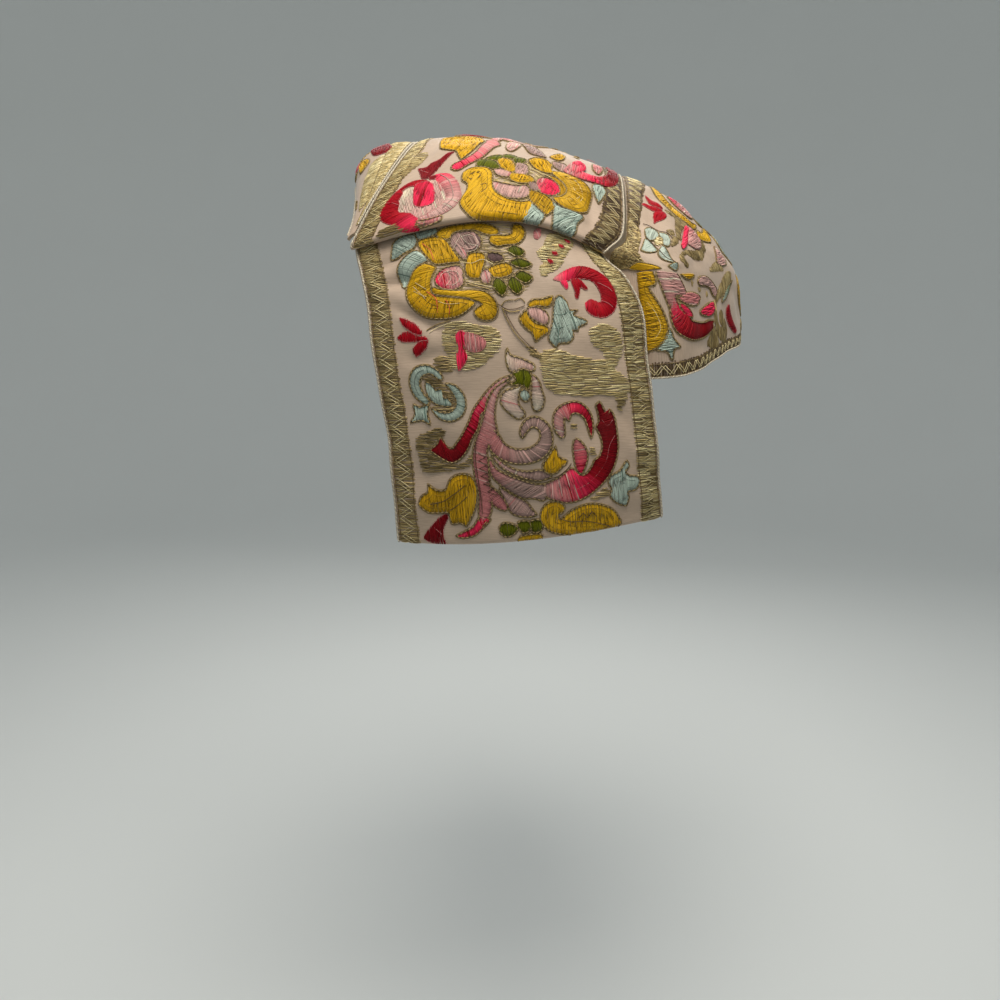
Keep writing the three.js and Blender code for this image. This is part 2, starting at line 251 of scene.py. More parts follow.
         " 21,62.6 23,61 23.6,58.6 22.8,56"),
    lame("dark", "14.8,52 17.4,51.2 20,53 21.6,55.6 23,59 22.4,60.4 20.5,57 18.6,55 16.4,53.4"),
    lame("mid", "16.4,60.8 20,61.2 22.4,61 20.6,62.3 17.4,62"),
    silk("aqua", "10.2,60.6 12,61.4 14.8,60.6 14.2,63.4 14.6,66.8! 12.6,65.6 10.6,65.8 8.6,66.4! 10.4,63.6"),
    silk("blush pink rose crimson wine", "41,50.6* 37.5,51.8 34,54.6 30.8,58.2 28.4,61.4 26.4,65.4 24,69.4"
         " 22,72 20.2,74 18.4,73.4 17.6,71.6 17,70.4! 16,72.6 13.4,74.8!* 16,76.8 19.6,78.4 22.6,76.8"
         " 25,73.8 26.6,70.6 28.8,67.2 30.2,63 31.6,61.6 32.6,58.6 34.6,55.4 37.6,53",
         axis=(38, 50, 20, 76)),
    silk("blush pink pink", "40.4,52.2* 37,55 35,59.4 34.1,64 34.2,68.4 33.4,71.6 30.6,73.6 30.4,78 30.2,83"
         " 30.6,88 30,93 28.6,96 26.6,97.6* 26.4,93 26.8,88 26.2,83 26,78 26.6,74 28,70.4 30.2,65.6 32,61"
         " 33.8,57 36.6,53.6", axis=(39, 52, 28, 96)),
    silk("rose", "29.6,95.6* 27.4,98 24.6,100.4 21,101.2 19,100.6!* 21.4,99.4 24.4,97.8 26.6,95"),
    silk("pink mauve mauve", "32,66.6* 31,70 31.6,74 34.4,76.8 38.4,78.2 43,77.8 47,75.8 49.4,72.4"
         " 49.9,68.4 48.6,65 45.6,63.4 42.6,64.8 40.9,67.8 41.2,70* 42.6,68.2 44.4,66.6 46.2,67.2 46.6,69.4"
         " 45.2,71.8 42.4,73.4 38.8,73.6 35.8,72 34.4,69", axis=(32, 70, 49, 70)),
    silk("blush mauve", "31.6,75.2* 34,77.4 37.4,79.8 41.4,80.8 45.4,80.4 48.4,82.4* 45,83.8 41,83 37,81.2"
         " 33.8,79", axis=(32, 76, 48, 82)),
    silk("pink mauve mauve", "30.8,76.4* 32.6,79.8 35.8,81.8 39.4,83.4 43,84.8 46.2,85.4 47.4,88 45.6,90.4*"
         " 43,89.6 39.4,89.2 36.6,87.4 33.4,84.8 31,81.6", axis=(31, 78, 46, 89)),
    silk("pink", "28,84* 30.8,85.6 33.4,88.6 34.8,91.4 34.4,93.2* 32,92.4 29.6,90 28.2,87.6"),
    silk("blush mauve", "33,85.8* 36.6,88.2 40.2,90.4 42,93 43.4,95!* 40.6,95.6 36.4,94.4 34.8,91",
         axis=(33, 86, 43, 95)),
    line("umber", "46,83.6 50,82.6 53,80.4 54.6,78.4"),
    line("umber", "27.8,75! 30,76.2! 27.6,77.4! 30.2,78.6! 27.6,79.8! 30.4,81! 27.8,82.2! 30.8,83.4!"
         " 28.4,84.6! 31.4,85.8! 29.4,87! 32.2,88.2", 0.5),
    line("umber", "27.6,72 26.8,77 27,83 27.4,89 27.4,94", 0.5),
    silk("mauve pink rose crimson wine", "43,85.6* 47,84.8 51,82.6 54.4,80 56.4,82.2 58.6,82.2 60.6,79.6"
         " 61.6,77.4 63,76.4 64.4,73 64.2,69.4 63.4,66.8 64.4,65.4 64.6,62.8 64.2,60.2! 65.4,59* 66.2,61"
         " 67.2,63.4 68.2,61.4! 69.2,64 69.3,69 69,74 67.6,79 65,84 61.4,88 57.4,90.8 53,91.8 48.6,90.4"
         " 45,88.4", axis=(44, 86, 67, 80)),
    line("pink", "50,90 55,87.6 59.6,85 62.6,81.6 65,77.6 66.4,73 68.5,69.6", 0.5),
    line("pink", "65.4,64.6 66.8,66.4 68.6,64.6", 0.5),
    silk("blush pink rose crimson", "52.6,70* 51,67.6 50.9,64.4 52.2,61.4 55,59.4 58.4,58.8 61,60.4"
         " 62.4,63.4 62.4,67 61.4,70.2!* 60.8,66.6 60.2,64 58.4,62.4 56.4,62.6 55.4,64.6 54.2,63.6 53.8,66"
         " 53.6,69", axis=(51, 66, 62, 64)),
    silk("pink rose", "56.8,70.4* 58.6,72 59.6,75 59,78.4 57.4,81.8* 56,80.4 55.6,76 55.8,72.4",
         axis=(57, 71, 57, 81)),
    silk("mustard", "50.4,72.6! 51,76 53.4,77.6 51.8,79.4 49.6,81.4 47,81.2 46.2,78.8 48,76"),
    lame("dark", "10,79 9.6,74 10.4,71 13,69.4 17,67.8 18.8,69 17.4,70.8 15,72.4 13.2,75 16,77.4 20,79"
         " 24,77.6 25.6,75.4 25,79 20,80.6 14,81.8 11,81.6"),
    silk("mustard ochre", "8.4,91.4! 9.4,89 11.6,87.4 11.6,85.2! 14,86.8 17,86.6 18.6,83.6 21,82 24.4,82"
         " 26,84.6 26,89 25,93 22.4,97.6! 20.4,96.6 18,96.8 17.2,93.6 14,93.6 11,93.4",
         axis=(22, 82, 14, 97)),
    line("umber", "12,91 16,90 20,87.4 23,85", 0.7),
    line("umber", "17.4,93 20.4,91 23.4,88.4", 0.7),
    silk("wine", "9,101.8 11.4,98 14.4,95 16.4,93.8! 17,95 15.4,98 15,101.4 15.6,104", couched=False),
    line("pink", "12.5,98 14.6,100", 0.5),
    silk("aqua", "71.4,78.2! 72,80.4 70.6,82.4 72,84 74.4,84.6 74.8,87 73.4,89.4 70.8,90 71,92.4 70.2,95.6!"
         " 67.4,93.8 65.6,91 66.2,88.4 65.4,86 66.2,83.4 69,81.8"),
    silk("mustard", "44.6,97.4 45,93.6 47,91.4 49.8,91.2 51.6,93 51.2,95 49.6,95.8 50.4,97.4 54,94.6 58,93"
         " 62,93.4 65.6,95.8 67.6,99.4 67.8,103 60,104.5 52,103 47,101"),
    line("umber", "50.4,97.2 53.4,98.6 57.6,99 62,100.8 65,102.6", 0.7),
    line("umber", "55.6,97.6! 57,95.8! 58.2,97.8! 59.6,95.6! 61,97.8!", 0.7),
    silk("olive", "32,99 33.4,97.2 36,97.6 37.6,99 36,101 33.6,101.4"),
    silk("olive", "37.6,97.4 40.8,97 41.4,99.6 39,100.6"),
    silk("olive", "41.4,97.2 44.4,97 44.6,100.2 42,100.8"),
    silk("mustard", "38,101.8 44,101.6 44,104 38,104"),
    lame("mid", "56.6,65 57.4,66.4 56.6,67.4 55.9,66.4"),
    lame("mid", "59.6,91.4 62,89.4 64.6,88 65,90 62.4,91.2"),
    lame("mid", "60.6,73.8 61.6,73.4 61.9,75.2 60.9,75.6"),
    line("bronze", "40.6,29.6 41.6,33.6 43.4,37.6 45.6,40.6 48.6,43.8"),
    line("umber", "41.2,29.6 42.2,33.4 44,37.2 46.2,40.2 49,43.2"),
    line("bronze", "25,33.8 20,35.4 17.6,37"),
    line("gilt", "25.4,34.4 20.8,36 18.4,37.6"),
]

# The repeat on the left half of the crown: u from the front selvedge, v from the middle plane to the fold.
CROWN_CHART = [
    lame("mid", "34,40 38,35 46,33 54,31 58,38 64,40 66,48 64,57 58,64 50,64 42,60 37,54 33,48", lift=-0.3),
    lame("dark", "9,66.6 15,65.4 21,66.6 25,68.8 18,69.4 10,69.2"),
    silk("mustard", "13.6,14 18,12 26,12 29,16 28.8,24 28.4,30 27.6,35 26.6,39.6! 24.4,36 22.4,32.4 19,31"
         " 15.8,29 14,24 13,18"),
    silk("wine", "22,33! 21,36.6 20,41 19.4,44.6 18,47.8 15.4,47 13.4,43.6 11.2,40.2! 14.4,40.2 15.6,38"
         " 18,36.6 19.8,33.4", couched=False),
    line("pink", "13,42 15,43.6 17,45", 0.5),
    silk("wine", "18.4,47 22,47 21.6,49 19,48.8", couched=False),
    silk("pink pink rose", "29.8,14 33.8,13* 35.8,20 35,27 34.2,33 33,38 31.2,42.4 28.6,46.4 25.2,45*"
         " 24.8,42.4 27.4,39.8 29.4,34.4 30,28 30.2,20", axis=(33, 14, 27, 46)),
    silk("blush pink", "38,-12 40.4,-11.4 38,-4 36,4 34,13 31,14 32,6 34.6,-3", axis=(39, -12, 32, 14)),
    silk("cream blush blush", "11,51.6 14.6,50.2 20,48.6 24,52.6 27,57 27.8,60.4 25.4,64.2 21,66 17,62.6"
         " 12.4,60.4 11,56", 60, axis=(11, 54, 26, 63), couched=False, lift=-0.25),
    silk("crimson crimson rose", "18.5,49.2* 14.5,47.6 10.5,48.2 7.6,51.4 5.8,56 6.2,60.4 9.4,63.6"
         " 13.6,66.2 17.6,69.6 22.6,70.6* 21,65.8 18,63 14.8,61.4 12.6,60.4 12,57.6 10.8,55.6 11.4,53.2"
         " 10.4,51.6 12.4,50.2 15.4,50.6", axis=(8, 56, 21, 68), couched=False),
    line("pink", "7,55.6 9.4,56.4 11.4,57.6", 0.5),
    silk("crimson rose rose", "14.8,50.4 18.4,49.8 21,52 22.8,55.4 23.8,60.2 20.4,60.6 17.4,59 15.8,55.6",
         axis=(15, 50, 22, 60), couched=False, lift=0.3),
    silk("rose pink blush", "20,46.8* 24.6,47.4 28,50.6 31,55 33,60 32,64 28.6,66.4 24,66.8 21.4,66*"
         " 24,64.6 27,62.6 28,59.6 26.6,56 24,53 21.6,50", axis=(21, 48, 32, 62), couched=False),
    line("mauve", "22.4,48 26.2,51.4 29,56 30.6,60.4 28.6,64", 0.5),
    silk("pink", "21.6,67 25,67.4 29,67 29.4,68.6 25,69.4 22.6,69.2"),
    silk("olive", "32.8,41 34.4,39.2 38,40.2 41,44.4 40.6,47 37,46 33.8,45.2"),
    silk("olive", "34.6,39 36.4,35.8 39.6,34.8 40.4,37.6 38.6,40.6"),
    silk("olive", "39.6,34.4 41.6,32 44.2,33 44.6,36 42.4,37.4 40.2,36.6"),
    silk("olive", "44.2,34 47.4,34 47.2,39 45.6,41 44,38.4"),
    silk("mustard", "39.6,38 42.4,37.6 45,41 46.4,45.6 45.4,47.8 42.6,46.6 39.8,42.6"),
    silk("mustard", "30.4,49* 32.6,46.2 36.6,45.8 39.6,48.6 41.2,53.6 43.4,58 47.6,61 52.6,61.6 55.4,60.4"
         " 56.4,64* 55.4,70.8 46,70.8 40,69.4 36,65.8 33.6,62 34.2,57.6 33.4,54.4 31.2,52.4"),
    line("umber", "33,50.4 35.4,49.4 36.6,51.2 35.2,53 33.4,52.2", 0.5),
    line("umber", "36,59.6 37.4,56 39.6,55 40.4,57.4 38.6,59.4", 0.5),
    silk("blush", "41.6,53.8 45,54.8 49,55 52,53.4 53.8,56 53.2,59.4 49.6,60.8 45.4,60 42.6,57.4"),
    silk("mustard", "45.8,48 49.4,46.4 52.6,47.4 53,50.8 50,53.2 46.6,52.6"),
    silk("blush", "40,46.8 44,46.4 46.6,49 44.8,51 41.6,50"),
    silk("blush mauve", "45.8,39 48.6,38.6 50.2,43 49.8,47.4 47,48 46,44", axis=(47, 48, 48, 38)),
    line("gilt", "50.4,40.6 54,42.2 57.6,43.8", 0.5),
    line("bronze", "50.6,41.8 53.6,43.2 55.6,44.8", 0.5),
    line("gilt", "50.4,43.4 52.6,44.6 54.2,46.4", 0.5),
    line("bronze", "41.4,51.2 45,52.6 49.6,54", 0.5),
    line("gilt", "41.8,52.6 45.6,54 50,54.6", 0.5),
    silk("mustard", "48.4,33.6 50.4,30.2 53.8,29.8 56.2,32.6 56.4,37 57.4,39.6 54.4,40.6 50.6,38", 70),
    silk("mustard ochre mustard", "56.6,38.6* 60,35.9 64.2,34.9 68,36.2 70.6,40 71.2,46 70.9,52 69.4,56"
         " 66,58 62.6,57.4 60.8,55* 62.6,52.4 63.4,48 62.2,44 59,41.4", axis=(57, 38, 68, 57)),
    silk("ochre", "55.6,42.4 59,42 62,44.4 63.4,48 62.6,52.4 61,54.8 61.8,51 61,46.8 58.6,44.4", 70),
    line("gilt", "60,38.4 64,38 67,41 68.4,46 67.6,52", 0.5),
    line("gilt", "64.6,43.4 67.4,46.4 66,50.6 64,53.6", 0.5),
    silk("pink rose rose", "54.8,45.6 57.4,44.4 60.4,46 61.6,50 60.6,54 57.4,55 54.8,52.6 54.2,49",
         axis=(54, 50, 61, 50)),
    silk("mauve", "52.4,50.6 54.6,50 56.4,53.6 54.6,55 52.6,53.6"),
    silk("ochre mustard", "53.4,55 57.4,54.8 60.8,57 62.8,61 61.8,65.6! 58.4,63 55.2,60.6",
         axis=(54, 55, 62, 65)),
    silk("aqua", "61.4,57.8 64.4,58.6 68.6,57 71,57 70.8,63 71.6,70.8 66,70.8 63.6,64.6 62.6,61.4", 110),
    silk("aqua", "55.8,61.4 58.6,63.4 61.4,66 60.6,70.8 56,70.8", 110),
    silk("pink rose crimson wine", "60.6,34.6 61,29 62.6,23 64.8,18.4 67,20 67.6,25 66.4,28.4 69,28.4"
         " 71.6,26.4 73.8,23.4 75.4,20 76.2,13 75.8,8 76.4,3! 77.6,6 78.8,3.4! 79.8,9 79.8,19.6 79,25"
         " 76.8,29.4 73.6,32 70,33.6 65,34.8", axis=(62, 30, 78, 22), couched=False, lift=0.45),
    silk("pink", "70.6,12 73.4,11 73.8,17 72.4,22 70.6,20 70.2,15"),
    silk("mustard", "55.4,20 57.6,16 59.4,18 59,23 57,25.4 54.6,24"),
    silk("mauve", "56.8,27.6 60.4,26.6 61.4,31 60.6,34.8 57.6,33.6 56,30.6"),
    silk("blush", "38.4,13 42,13 43,20 41,28 38.6,24"),
    silk("mauve", "44,14 49,14 52,22 53,27 48,26.4 45,20"),
    silk("aqua", "71,34 73.6,32.4 75,35 74.4,38.6 73.4,43! 72,40.6 70.8,37.4"),
    lame("mid", "4,32 8,29 11,30 10.6,35.6 8.6,39.6 7,43 5,40 3,36.4"),
]
# The flap's repeat comes round again over the top of the crown, moved by this much in u and v,
# as far down as its motifs above this v.
CROWN_REPEAT = (3.0, -66.0)
CROWN_REPEAT_END = 79.0
# The ribbon is one length, so its repeat hangs upside down on the right flap, from this v.
RIGHT_FLAP_START = 110.0

# The back band above its crease: u from the seam to the crease, v from the middle plane.
SLOPE_CHART = [
    silk("mustard", "9.6,9* 10.6,16 13.6,21 18.4,24 24.6,24.8 30,22.8 32,18 31,13* 28,16.8 23,17.8 18,16"
         " 14,12.4"),
    silk("mustard", "33.6,9* 37.4,10 39.6,14 39,18.4 36.4,20.6 34,19.4 33,16* 34.8,14.6"),
    silk("rose pink blush", "16.4,7.6 20,5.4 25,6 28,9.6 26.4,13.6 21.6,14.4 17.6,11.6",
         axis=(17, 8, 28, 11)),
    seed("olive", 31, 6.4, 1.9, 2.4),
    seed("olive", 28.4, 4.4, 1.8, 1.6),
    lame("mid", "10,0 11.4,2.6 15,3.4 19,2.4 21,0"),
    silk("crimson rose", "23,0 25,2 29,2.6 32,1.6 34,0", axis=(23, 1, 34, 1), couched=False),
    silk("aqua", "36,0 37.4,3 41,5.4 45,4.6 48.4,2.6 50.6,0", 60),
    seed("olive", 35.4, 4.6, 1.8, 1.4),
    silk("crimson", "8,24.2! 12,25.4 15.6,28 16.4,30 12.6,30 10,28", couched=False),
    silk("crimson", "6.8,34.2! 9,31.4 12.6,30.6 16.8,31 14.6,33.6 10.4,34.2", couched=False),
    silk("crimson", "14,33.8 17.6,31.4 19.6,33 18.8,36 15.4,40.2! 13.8,37", couched=False),
    lame("dark", "24,25.6 27.4,24 29.8,26.6 29,31 30,36 32.4,40.4 30.4,41.4 27,37 25,33 23.6,29"),
    lame("dark", "36.6,22.8 41,24.6 44.6,30 46.4,35 45.6,39 42,43.4 41,46 43,48.2 48.6,47.4 49.2,49.6"
         " 45,50.6 41,49.8 39.2,46 39.6,42 41.6,37 41,32 39.6,28"),
    lame("dark", "30.4,42 32.6,44.4 31.8,49.4 29.4,46.4 28,43"),
    silk("pink blush", "30.4,27 34,25.6 38,26 40.6,29 41.4,33 39.4,36.6 36,38 33.6,35 31.6,31",
         couched=False, axis=(31, 32, 41, 32), lift=0.3),
    silk("rose", "29,29 30.6,28.2 32.6,33 34.6,36 36.6,40 37.6,45! 35,44 32.6,39 30.4,34", couched=False,
         lift=0.4),
    line("umber", "35,30 36.4,32 35.6,34.6", 0.7),
    line("umber", "37.4,29.4 38.4,31.6 37.6,34", 0.7),
    silk("mist", "11.4,47.4 14,45.2 18.4,45 20.6,47.4 19.4,50.6 15.6,52.2 12.6,50.6"),
    silk("mist", "20,45 25,44.8 28.4,47.6 30.6,50.6 27,51.4 24.4,48.8 21.4,47.4", 60),
    silk("mist", "13.4,52.8 18,52.6 23,54.2 27.4,56 25,58.6 18.4,59 15,57", 110),
    silk("mist", "27.4,52.2 33,53 39,54.2 44.6,55.6 40,57.6 33,57.4 28.4,55.6", 110),
    silk("aqua", "45.4,54.4 50,54.8 52.4,57 47.4,58.2", 110),
    lame("light", "19.8,48.6 23.6,48.4 26.4,51 23.8,52.6 20.4,51.6", lift=0.1),
    line("umber", "13,51.8 20,53.2 28,55.4 38,56.2 45,55", 0.5),
    line("umber", "9.4,44.6 16,44 24,43.6 28.6,45.4", 0.3),
    lame("dark", "23.4,41.4 25.6,39.6 27.8,41.6 25.6,43.8"),
    lame("mid", "0.6,47 7,47.4 9.6,52 12,57 18,60.4 28,62.6 37,64.6 37,70.8 0.6,70.8"),
    lame("mid", "18,29 22,26.6 23.4,27.6 20,30"),
    silk("blush", "42,13 46,11 50,14 50,22 47,21 44,18"),
    lame("mid", "49,22 52.6,20 52.6,32 51,30"),
    silk("mustard", "34,65 40,63.8 52.6,62.4 52.6,67.6 40,69"),
]

# The back band below its crease: u from the crease to the hem, v from the middle plane.
WALL_CHART = [
    silk("mustard", "0.4,80 0.4,74 1.4,72.8 3.4,72.6 4.4,73.6 4.2,75 5.4,75.2 7,74.2 10.7,72.2 13.5,71.2"
         " 16.2,70.8 18.6,71.6 20.4,74 21.2,77 20.6,79.6"),
    line("umber", "2,77.4 2.6,75 3.6,74", 0.5),
    line("gilt", "8.6,76.4 12,74 16,73.2 18.6,75.6", 0.5),
    silk("mustard", "0.4,52 1.6,53 2.2,57 1.4,60 0.4,61"),
    silk("blush pink", "0.4,64.4 3,61.6 6.4,60 7.8,62.4 6.8,65.4 8.2,66.4 10.4,65.8 13,66.6 14.4,68 10,69.6"
         " 5,71 0.4,71.4", axis=(0, 68, 13, 67)),
    silk("rose", "9.8,63.2 11.4,60.4 13.4,59.4 13.2,62.8 11.4,65.2 9.6,65.6"),
    silk("rose crimson wine", "7.6,67.6* 9.6,65.8 11.6,64 12.6,61.6 14.4,60.6 15.4,56 16,50 15.8,46"
         " 16.4,41.4!* 17.6,44 18.6,42.6 19.6,47 20.2,53 20,60 18.6,65.6 16.4,68.6 12,69.4",
         axis=(8, 66, 20, 60)),
    silk("pink", "8.2,50 9.9,53 10.2,58 9.4,62.4 8,65.4 6.6,62 6.4,56 7,52.4"),
    silk("blush", "2,49 1.6,43 3,38 5.6,33.6 7.4,33 8.6,36 7,38 5.4,40 4.6,44 4,49.6"),
    silk("rose", "10.6,38.2 12.8,38.6 14.2,43 14,48.4 12.6,52.6 11.4,48 10.4,43"),
    lame("dark", "17.4,27.4 20,25.4 23.6,26 25,29.6 23.8,34 20.8,38.4 16,40.6 11.4,38.6 9.4,34.6 12.6,36.4"
         " 16.4,37 19.4,34.6 19.6,30.6"),
    lame("dark", "14.2,30 17.6,29 18.6,32 16.6,34 14.6,33"),
    lame("dark", "18,43 21,39.6 24.6,37.8 25,41 24.6,45 22.4,49 21,46.6"),
    silk("crimson", "12.4,21.6 15.4,20.4 19,18 22.4,15 23.6,17 21.6,20.6 18.6,23.6 16,25 13.4,24.2",
         couched=False),
    silk("olive aqua", "3.6,14 6.4,18 8.6,22 10.4,26 10.8,29 8.6,26.4 6.4,22.6", axis=(4, 14, 10, 28)),
    lame("mid", "0.6,15 3,16 6.6,23 9,30 10,35 7,32 3,25 0.8,20"),
    silk("aqua", "16.4,70.4 19,69.4 21.2,67.4! 21.8,69.8 24.4,70.6 22,72 21.4,75! 19.6,73.4"),
    silk("mustard", "3,0 3.4,3.6 6.4,6.4 10.6,6 14.6,3.6 18,0", 60),
    silk("rose pink", "6,0 7,2 9.6,2.8 12.4,0", axis=(6, 0, 12, 0), couched=False, lift=0.3),
    lame("mid", "19.6,0 20.6,3.4 23,6.4 24.2,3 24.4,0"),
    lame("mid", "6.8,44 7.4,43.2 8,44 7.4,44.8"),
    lame("mid", "4.8,50 5.4,49.2 6,50 5.4,50.8"),
    lame("mid", "2.8,54.4 3.4,53.6 4,54.4 3.4,55.2"),
]

# The front band: u from its hem to its seam, v from the middle plane.
FRONT_CHART = [
    silk("wine", "14.4,0.4 20,0.4 21.4,8 23.4,16 22,20.6 17,19 14.8,12", couched=False),
    silk("mustard", "8.6,12 10.6,12.6 13.4,17 14.2,22 12.6,24 9.6,24 8.4,19"),
    lame("light", "16,26 21.6,24 21.6,40 21.6,50 19,53 14,54 12,48 13,38 15,31"),
    lame("dark", "6,44 7.6,44.6 8,50 6.6,49.4"),
    silk("aqua", "2.8,0 4.6,2.6 8,3.8 10.8,2.6 12.6,0", 60),
    silk("rose pink", "4.4,5 7.2,5.6 8.8,8.6 6.8,10.4 4.4,8.8", axis=(4, 6, 9, 9), couched=False),
    seed("olive", 4.6, 13.4, 1.5, 2.1),
]


# Curves and surfaces.

def span(before, start, stop, after, t):
    """Points of a Catmull-Rom span from start to stop at shares t."""
    linear_part = stop - before
    square_part = 2 * before - 5 * start + 4 * stop - after
    cube_part = 3 * start - before - 3 * stop + after
    return start + 0.5 * (linear_part * t + square_part * t ** 2 + cube_part * t ** 3)


def curve(points, t):
    """A smooth curve through rows of points, at shares t of its rows."""
    ends = [2 * points[0] - points[1]], [2 * points[-1] - points[-2]]
    rows = np.concatenate([ends[0], points, ends[1]])
    place = np.clip(t, 0, 1) * (len(points) - 1)
    row = np.minimum(place.astype(int), len(points) - 2)
    share = (place - row).reshape(-1, *[1] * (points.ndim - 1))
    return span(rows[row], rows[row + 1], rows[row + 2], rows[row + 3], share)


def blend_columns(count, w):
    """Weights of evenly spaced columns at shares w across, by Lagrange's rule."""
    columns = []
    for k in range(count):
        others = [o for o in range(count) if o != k]
        columns.append(np.prod([(w * (count - 1) - o) / (k - o) for o in others], axis=0))
    return np.stack(columns, axis=-1)


def unit(vectors):
    return vectors / np.linalg.norm(vectors, axis=-1, keepdims=True)


def across_rows(columns, w):
    """Points at shares w across from the columns of each row."""
    return np.einsum("wk,skx->swx", blend_columns(columns.shape[1], w), columns)


def mirrored(rows):
    """Rows of the left half with the right half before them."""
    return np.concatenate([rows[:0:-1] * [-1, 1, 1], rows])


class Face:
    """The outer face of a ribbon: points and outward normals at shares s along and w across."""

    STEP = 1e-3

    def __init__(self, columns_at):
        self.columns_at = columns_at

    def points(self, s, w):
        return across_rows(self.columns_at(s), w)

    def along(self, s, w):
        """The face's change for one whole share along."""
        later = np.minimum(s + self.STEP, 1)
        sooner = np.maximum(s - self.STEP, 0)
        change = self.points(later, w) - self.points(sooner, w)
        return change / (later - sooner)[:, None, None]

    def normals(self, s, w):
        across = self.points(s, w + self.STEP) - self.points(s, w - self.STEP)
        return unit(np.cross(self.along(s, w), across))


def half_face(rows):
    """The face over the left half of a ribbon that is the same on both sides of the middle plane."""
    both = mirrored(rows)
    return Face(lambda s: curve(both, 0.5 + 0.5 * s))


def whole_face(rows):
    """The face from the right end of a ribbon to its left end."""
    both = mirrored(rows)
    return Face(lambda s: curve(both, s))


def turn_round(centre, start, leading, inward, count):
    """A half turn of the ribbon about centre, from start through leading: points and right-side normals."""
    angles = np.linspace(0, math.pi, count + 2)[1:-1, None, None]
    spoke = np.cos(angles) * start + np.sin(angles) * leading
    return centre + TURN_RADIUS * spoke, -spoke if inward else spoke


def lengths_along(points):
    """Distance along the middle column of a grid, from its first row."""
    middle = points[:, points.shape[1] // 2]
    steps = np.linalg.norm(np.diff(middle, axis=0), axis=1)
    return np.concatenate([[0], np.cumsum(steps)])


def ease(x):
    """0 below 0 and 1 above 1, smooth between."""
    x = np.clip(x, 0, 1)
    return x * x * (3 - 2 * x)


def puckers(u, v, depth):
    """Soft dents that the close stitching draws into the silk, in mm.

    Three waves of unlike lengths in mm sway across one another, so that no repeat shows.
    """
    broad = np.sin(u / 9.0 + 1.3 * np.sin(v / 17.0)) * np.sin(v / 12.0 + 0.7)
    slanted = np.sin(v / 3.1 + u / 5.0 + 1.7 * np.sin(u / 8.0))
    crossing = np.sin(u / 2.7 - v / 6.1 + 1.4 * np.sin(v / 9.0))
    return depth * (0.55 * broad + 0.2 * slanted + 0.2 * crossing)


Crease = namedtuple("Crease", "start stop width depth")

# Straight dents in the ribbon, from u, v to u, v; on a flap v is counted from the fold.
CROWN_CREASES = [
    Crease((8, 60), (34, 57), 2.4, 0.7),
    Crease((24, 40), (32, 62), 2.2, 0.5),
    Crease((70, 40), (76, 66), 2.0, 1.2),
    Crease((75, 36), (79, 64), 1.9, 1.1),
    Crease((46, 20), (58, 8), 2.4, 0.5),
    Crease((14, 20), (8, 44), 2.2, 0.6),
]
FLAP_CREASES = [
    Crease((4, 22), (16, 18), 1.9, 1.5),
    Crease((4, 13), (15, 8), 1.9, 1.3),
    Crease((6, 28), (24, 38), 2.0, 1.3),
    Crease((8, 47), (28, 43), 1.9, 1.0),
    Crease((44, 44), (60, 40), 2.2, 0.6),
    Crease((28, 52), (20, 68), 2.2, 0.6),
    Crease((56, 20), (66, 40), 2.2, 0.7),
    Crease((36, 66), (48, 60), 2.2, 0.6),
    Crease((8, 84), (20, 80), 2.0, 0.6),
    Crease((46, 84), (62, 92), 2.2, 0.6),
    Crease((70, 58), (78, 78), 2.0, 0.7),
]
SLOPE_CREASES = [
    Crease((8, 40), (24, 44), 2.0, 0.8),
    Crease((12, 20), (10, 34), 2.0, 0.6),
    Crease((28, 22), (46, 20), 2.2, 0.7),
    Crease((38, 44), (50, 38), 2.2, 0.8),
    Crease((20, 4), (36, 0), 2.4, 0.6),
]
WALL_CREASES = [
    Crease((6, 70), (24, 68), 2.0, 0.6),
    Crease((3, 40), (20, 34), 2.2, 0.6),
    Crease((22, 62), (24, 40), 1.9, 0.5),
    Crease((4, 12), (22, 6), 2.2, 0.6),
]


def creased(u, v, creases):
    """Height in mm that creases take off a ribbon; each one fades over a third of its length at each end."""
    height = np.zeros(np.broadcast(u, v).shape)
    for crease in creases:
        start = np.array(crease.start, dtype=float)
        way = np.array(crease.stop) - start
        share = ((u - start[0]) * way[0] + (v - start[1]) * way[1]) / (way @ way)
        aside = ((u - start[0]) * way[1] - (v - start[1]) * way[0]) / np.linalg.norm(way)
        fade = ease(3 * share) * ease(3 * (1 - share))
        height -= crease.depth * fade * np.exp(-(aside / crease.width) ** 2)
    return height


class Strip:
    """A stretch of ribbon that is stitched on, read by u across and v along, in mm."""

    def __init__(self, u, v, points, normals):
        self.u = u
        self.v = v
        self.points = points
        self.normals = normals

    def at(self, u, v, lift=0.0):
        """Points that stand lift off the ribbon at u and v."""
        column = np.interp(u, self.u, np.arange(len(self.u)))
        row = np.interp(v, self.v, np.arange(len(self.v)))
        j = np.minimum(column.astype(int), len(self.u) - 2)
        i = np.minimum(row.astype(int), len(self.v) - 2)
        a = (column - j)[..., None]
        b = (row - i)[..., None]

        def read(grid):
            near = grid[i, j] * (1 - a) + grid[i, j + 1] * a
            far = grid[i + 1, j] * (1 - a) + grid[i + 1, j + 1] * a
            return near * (1 - b) + far * b

        return read(self.points) + np.asarray(lift)[..., None] * read(self.normals)


class Ribbon:
    """Middle layer of a ribbon wall as a grid of points and right-side normals, with its chart in mm."""

    def __init__(self, middle, normals, u, v):
        self.middle = middle
        self.normals = normals
        self.u = u
        self.v = v

    def strip(self, rows, columns, u, v, wall):
        points = self.middle[rows, columns] + 0.5 * wall * self.normals[rows, columns]
        return Strip(u, v, points, self.normals[rows, columns])


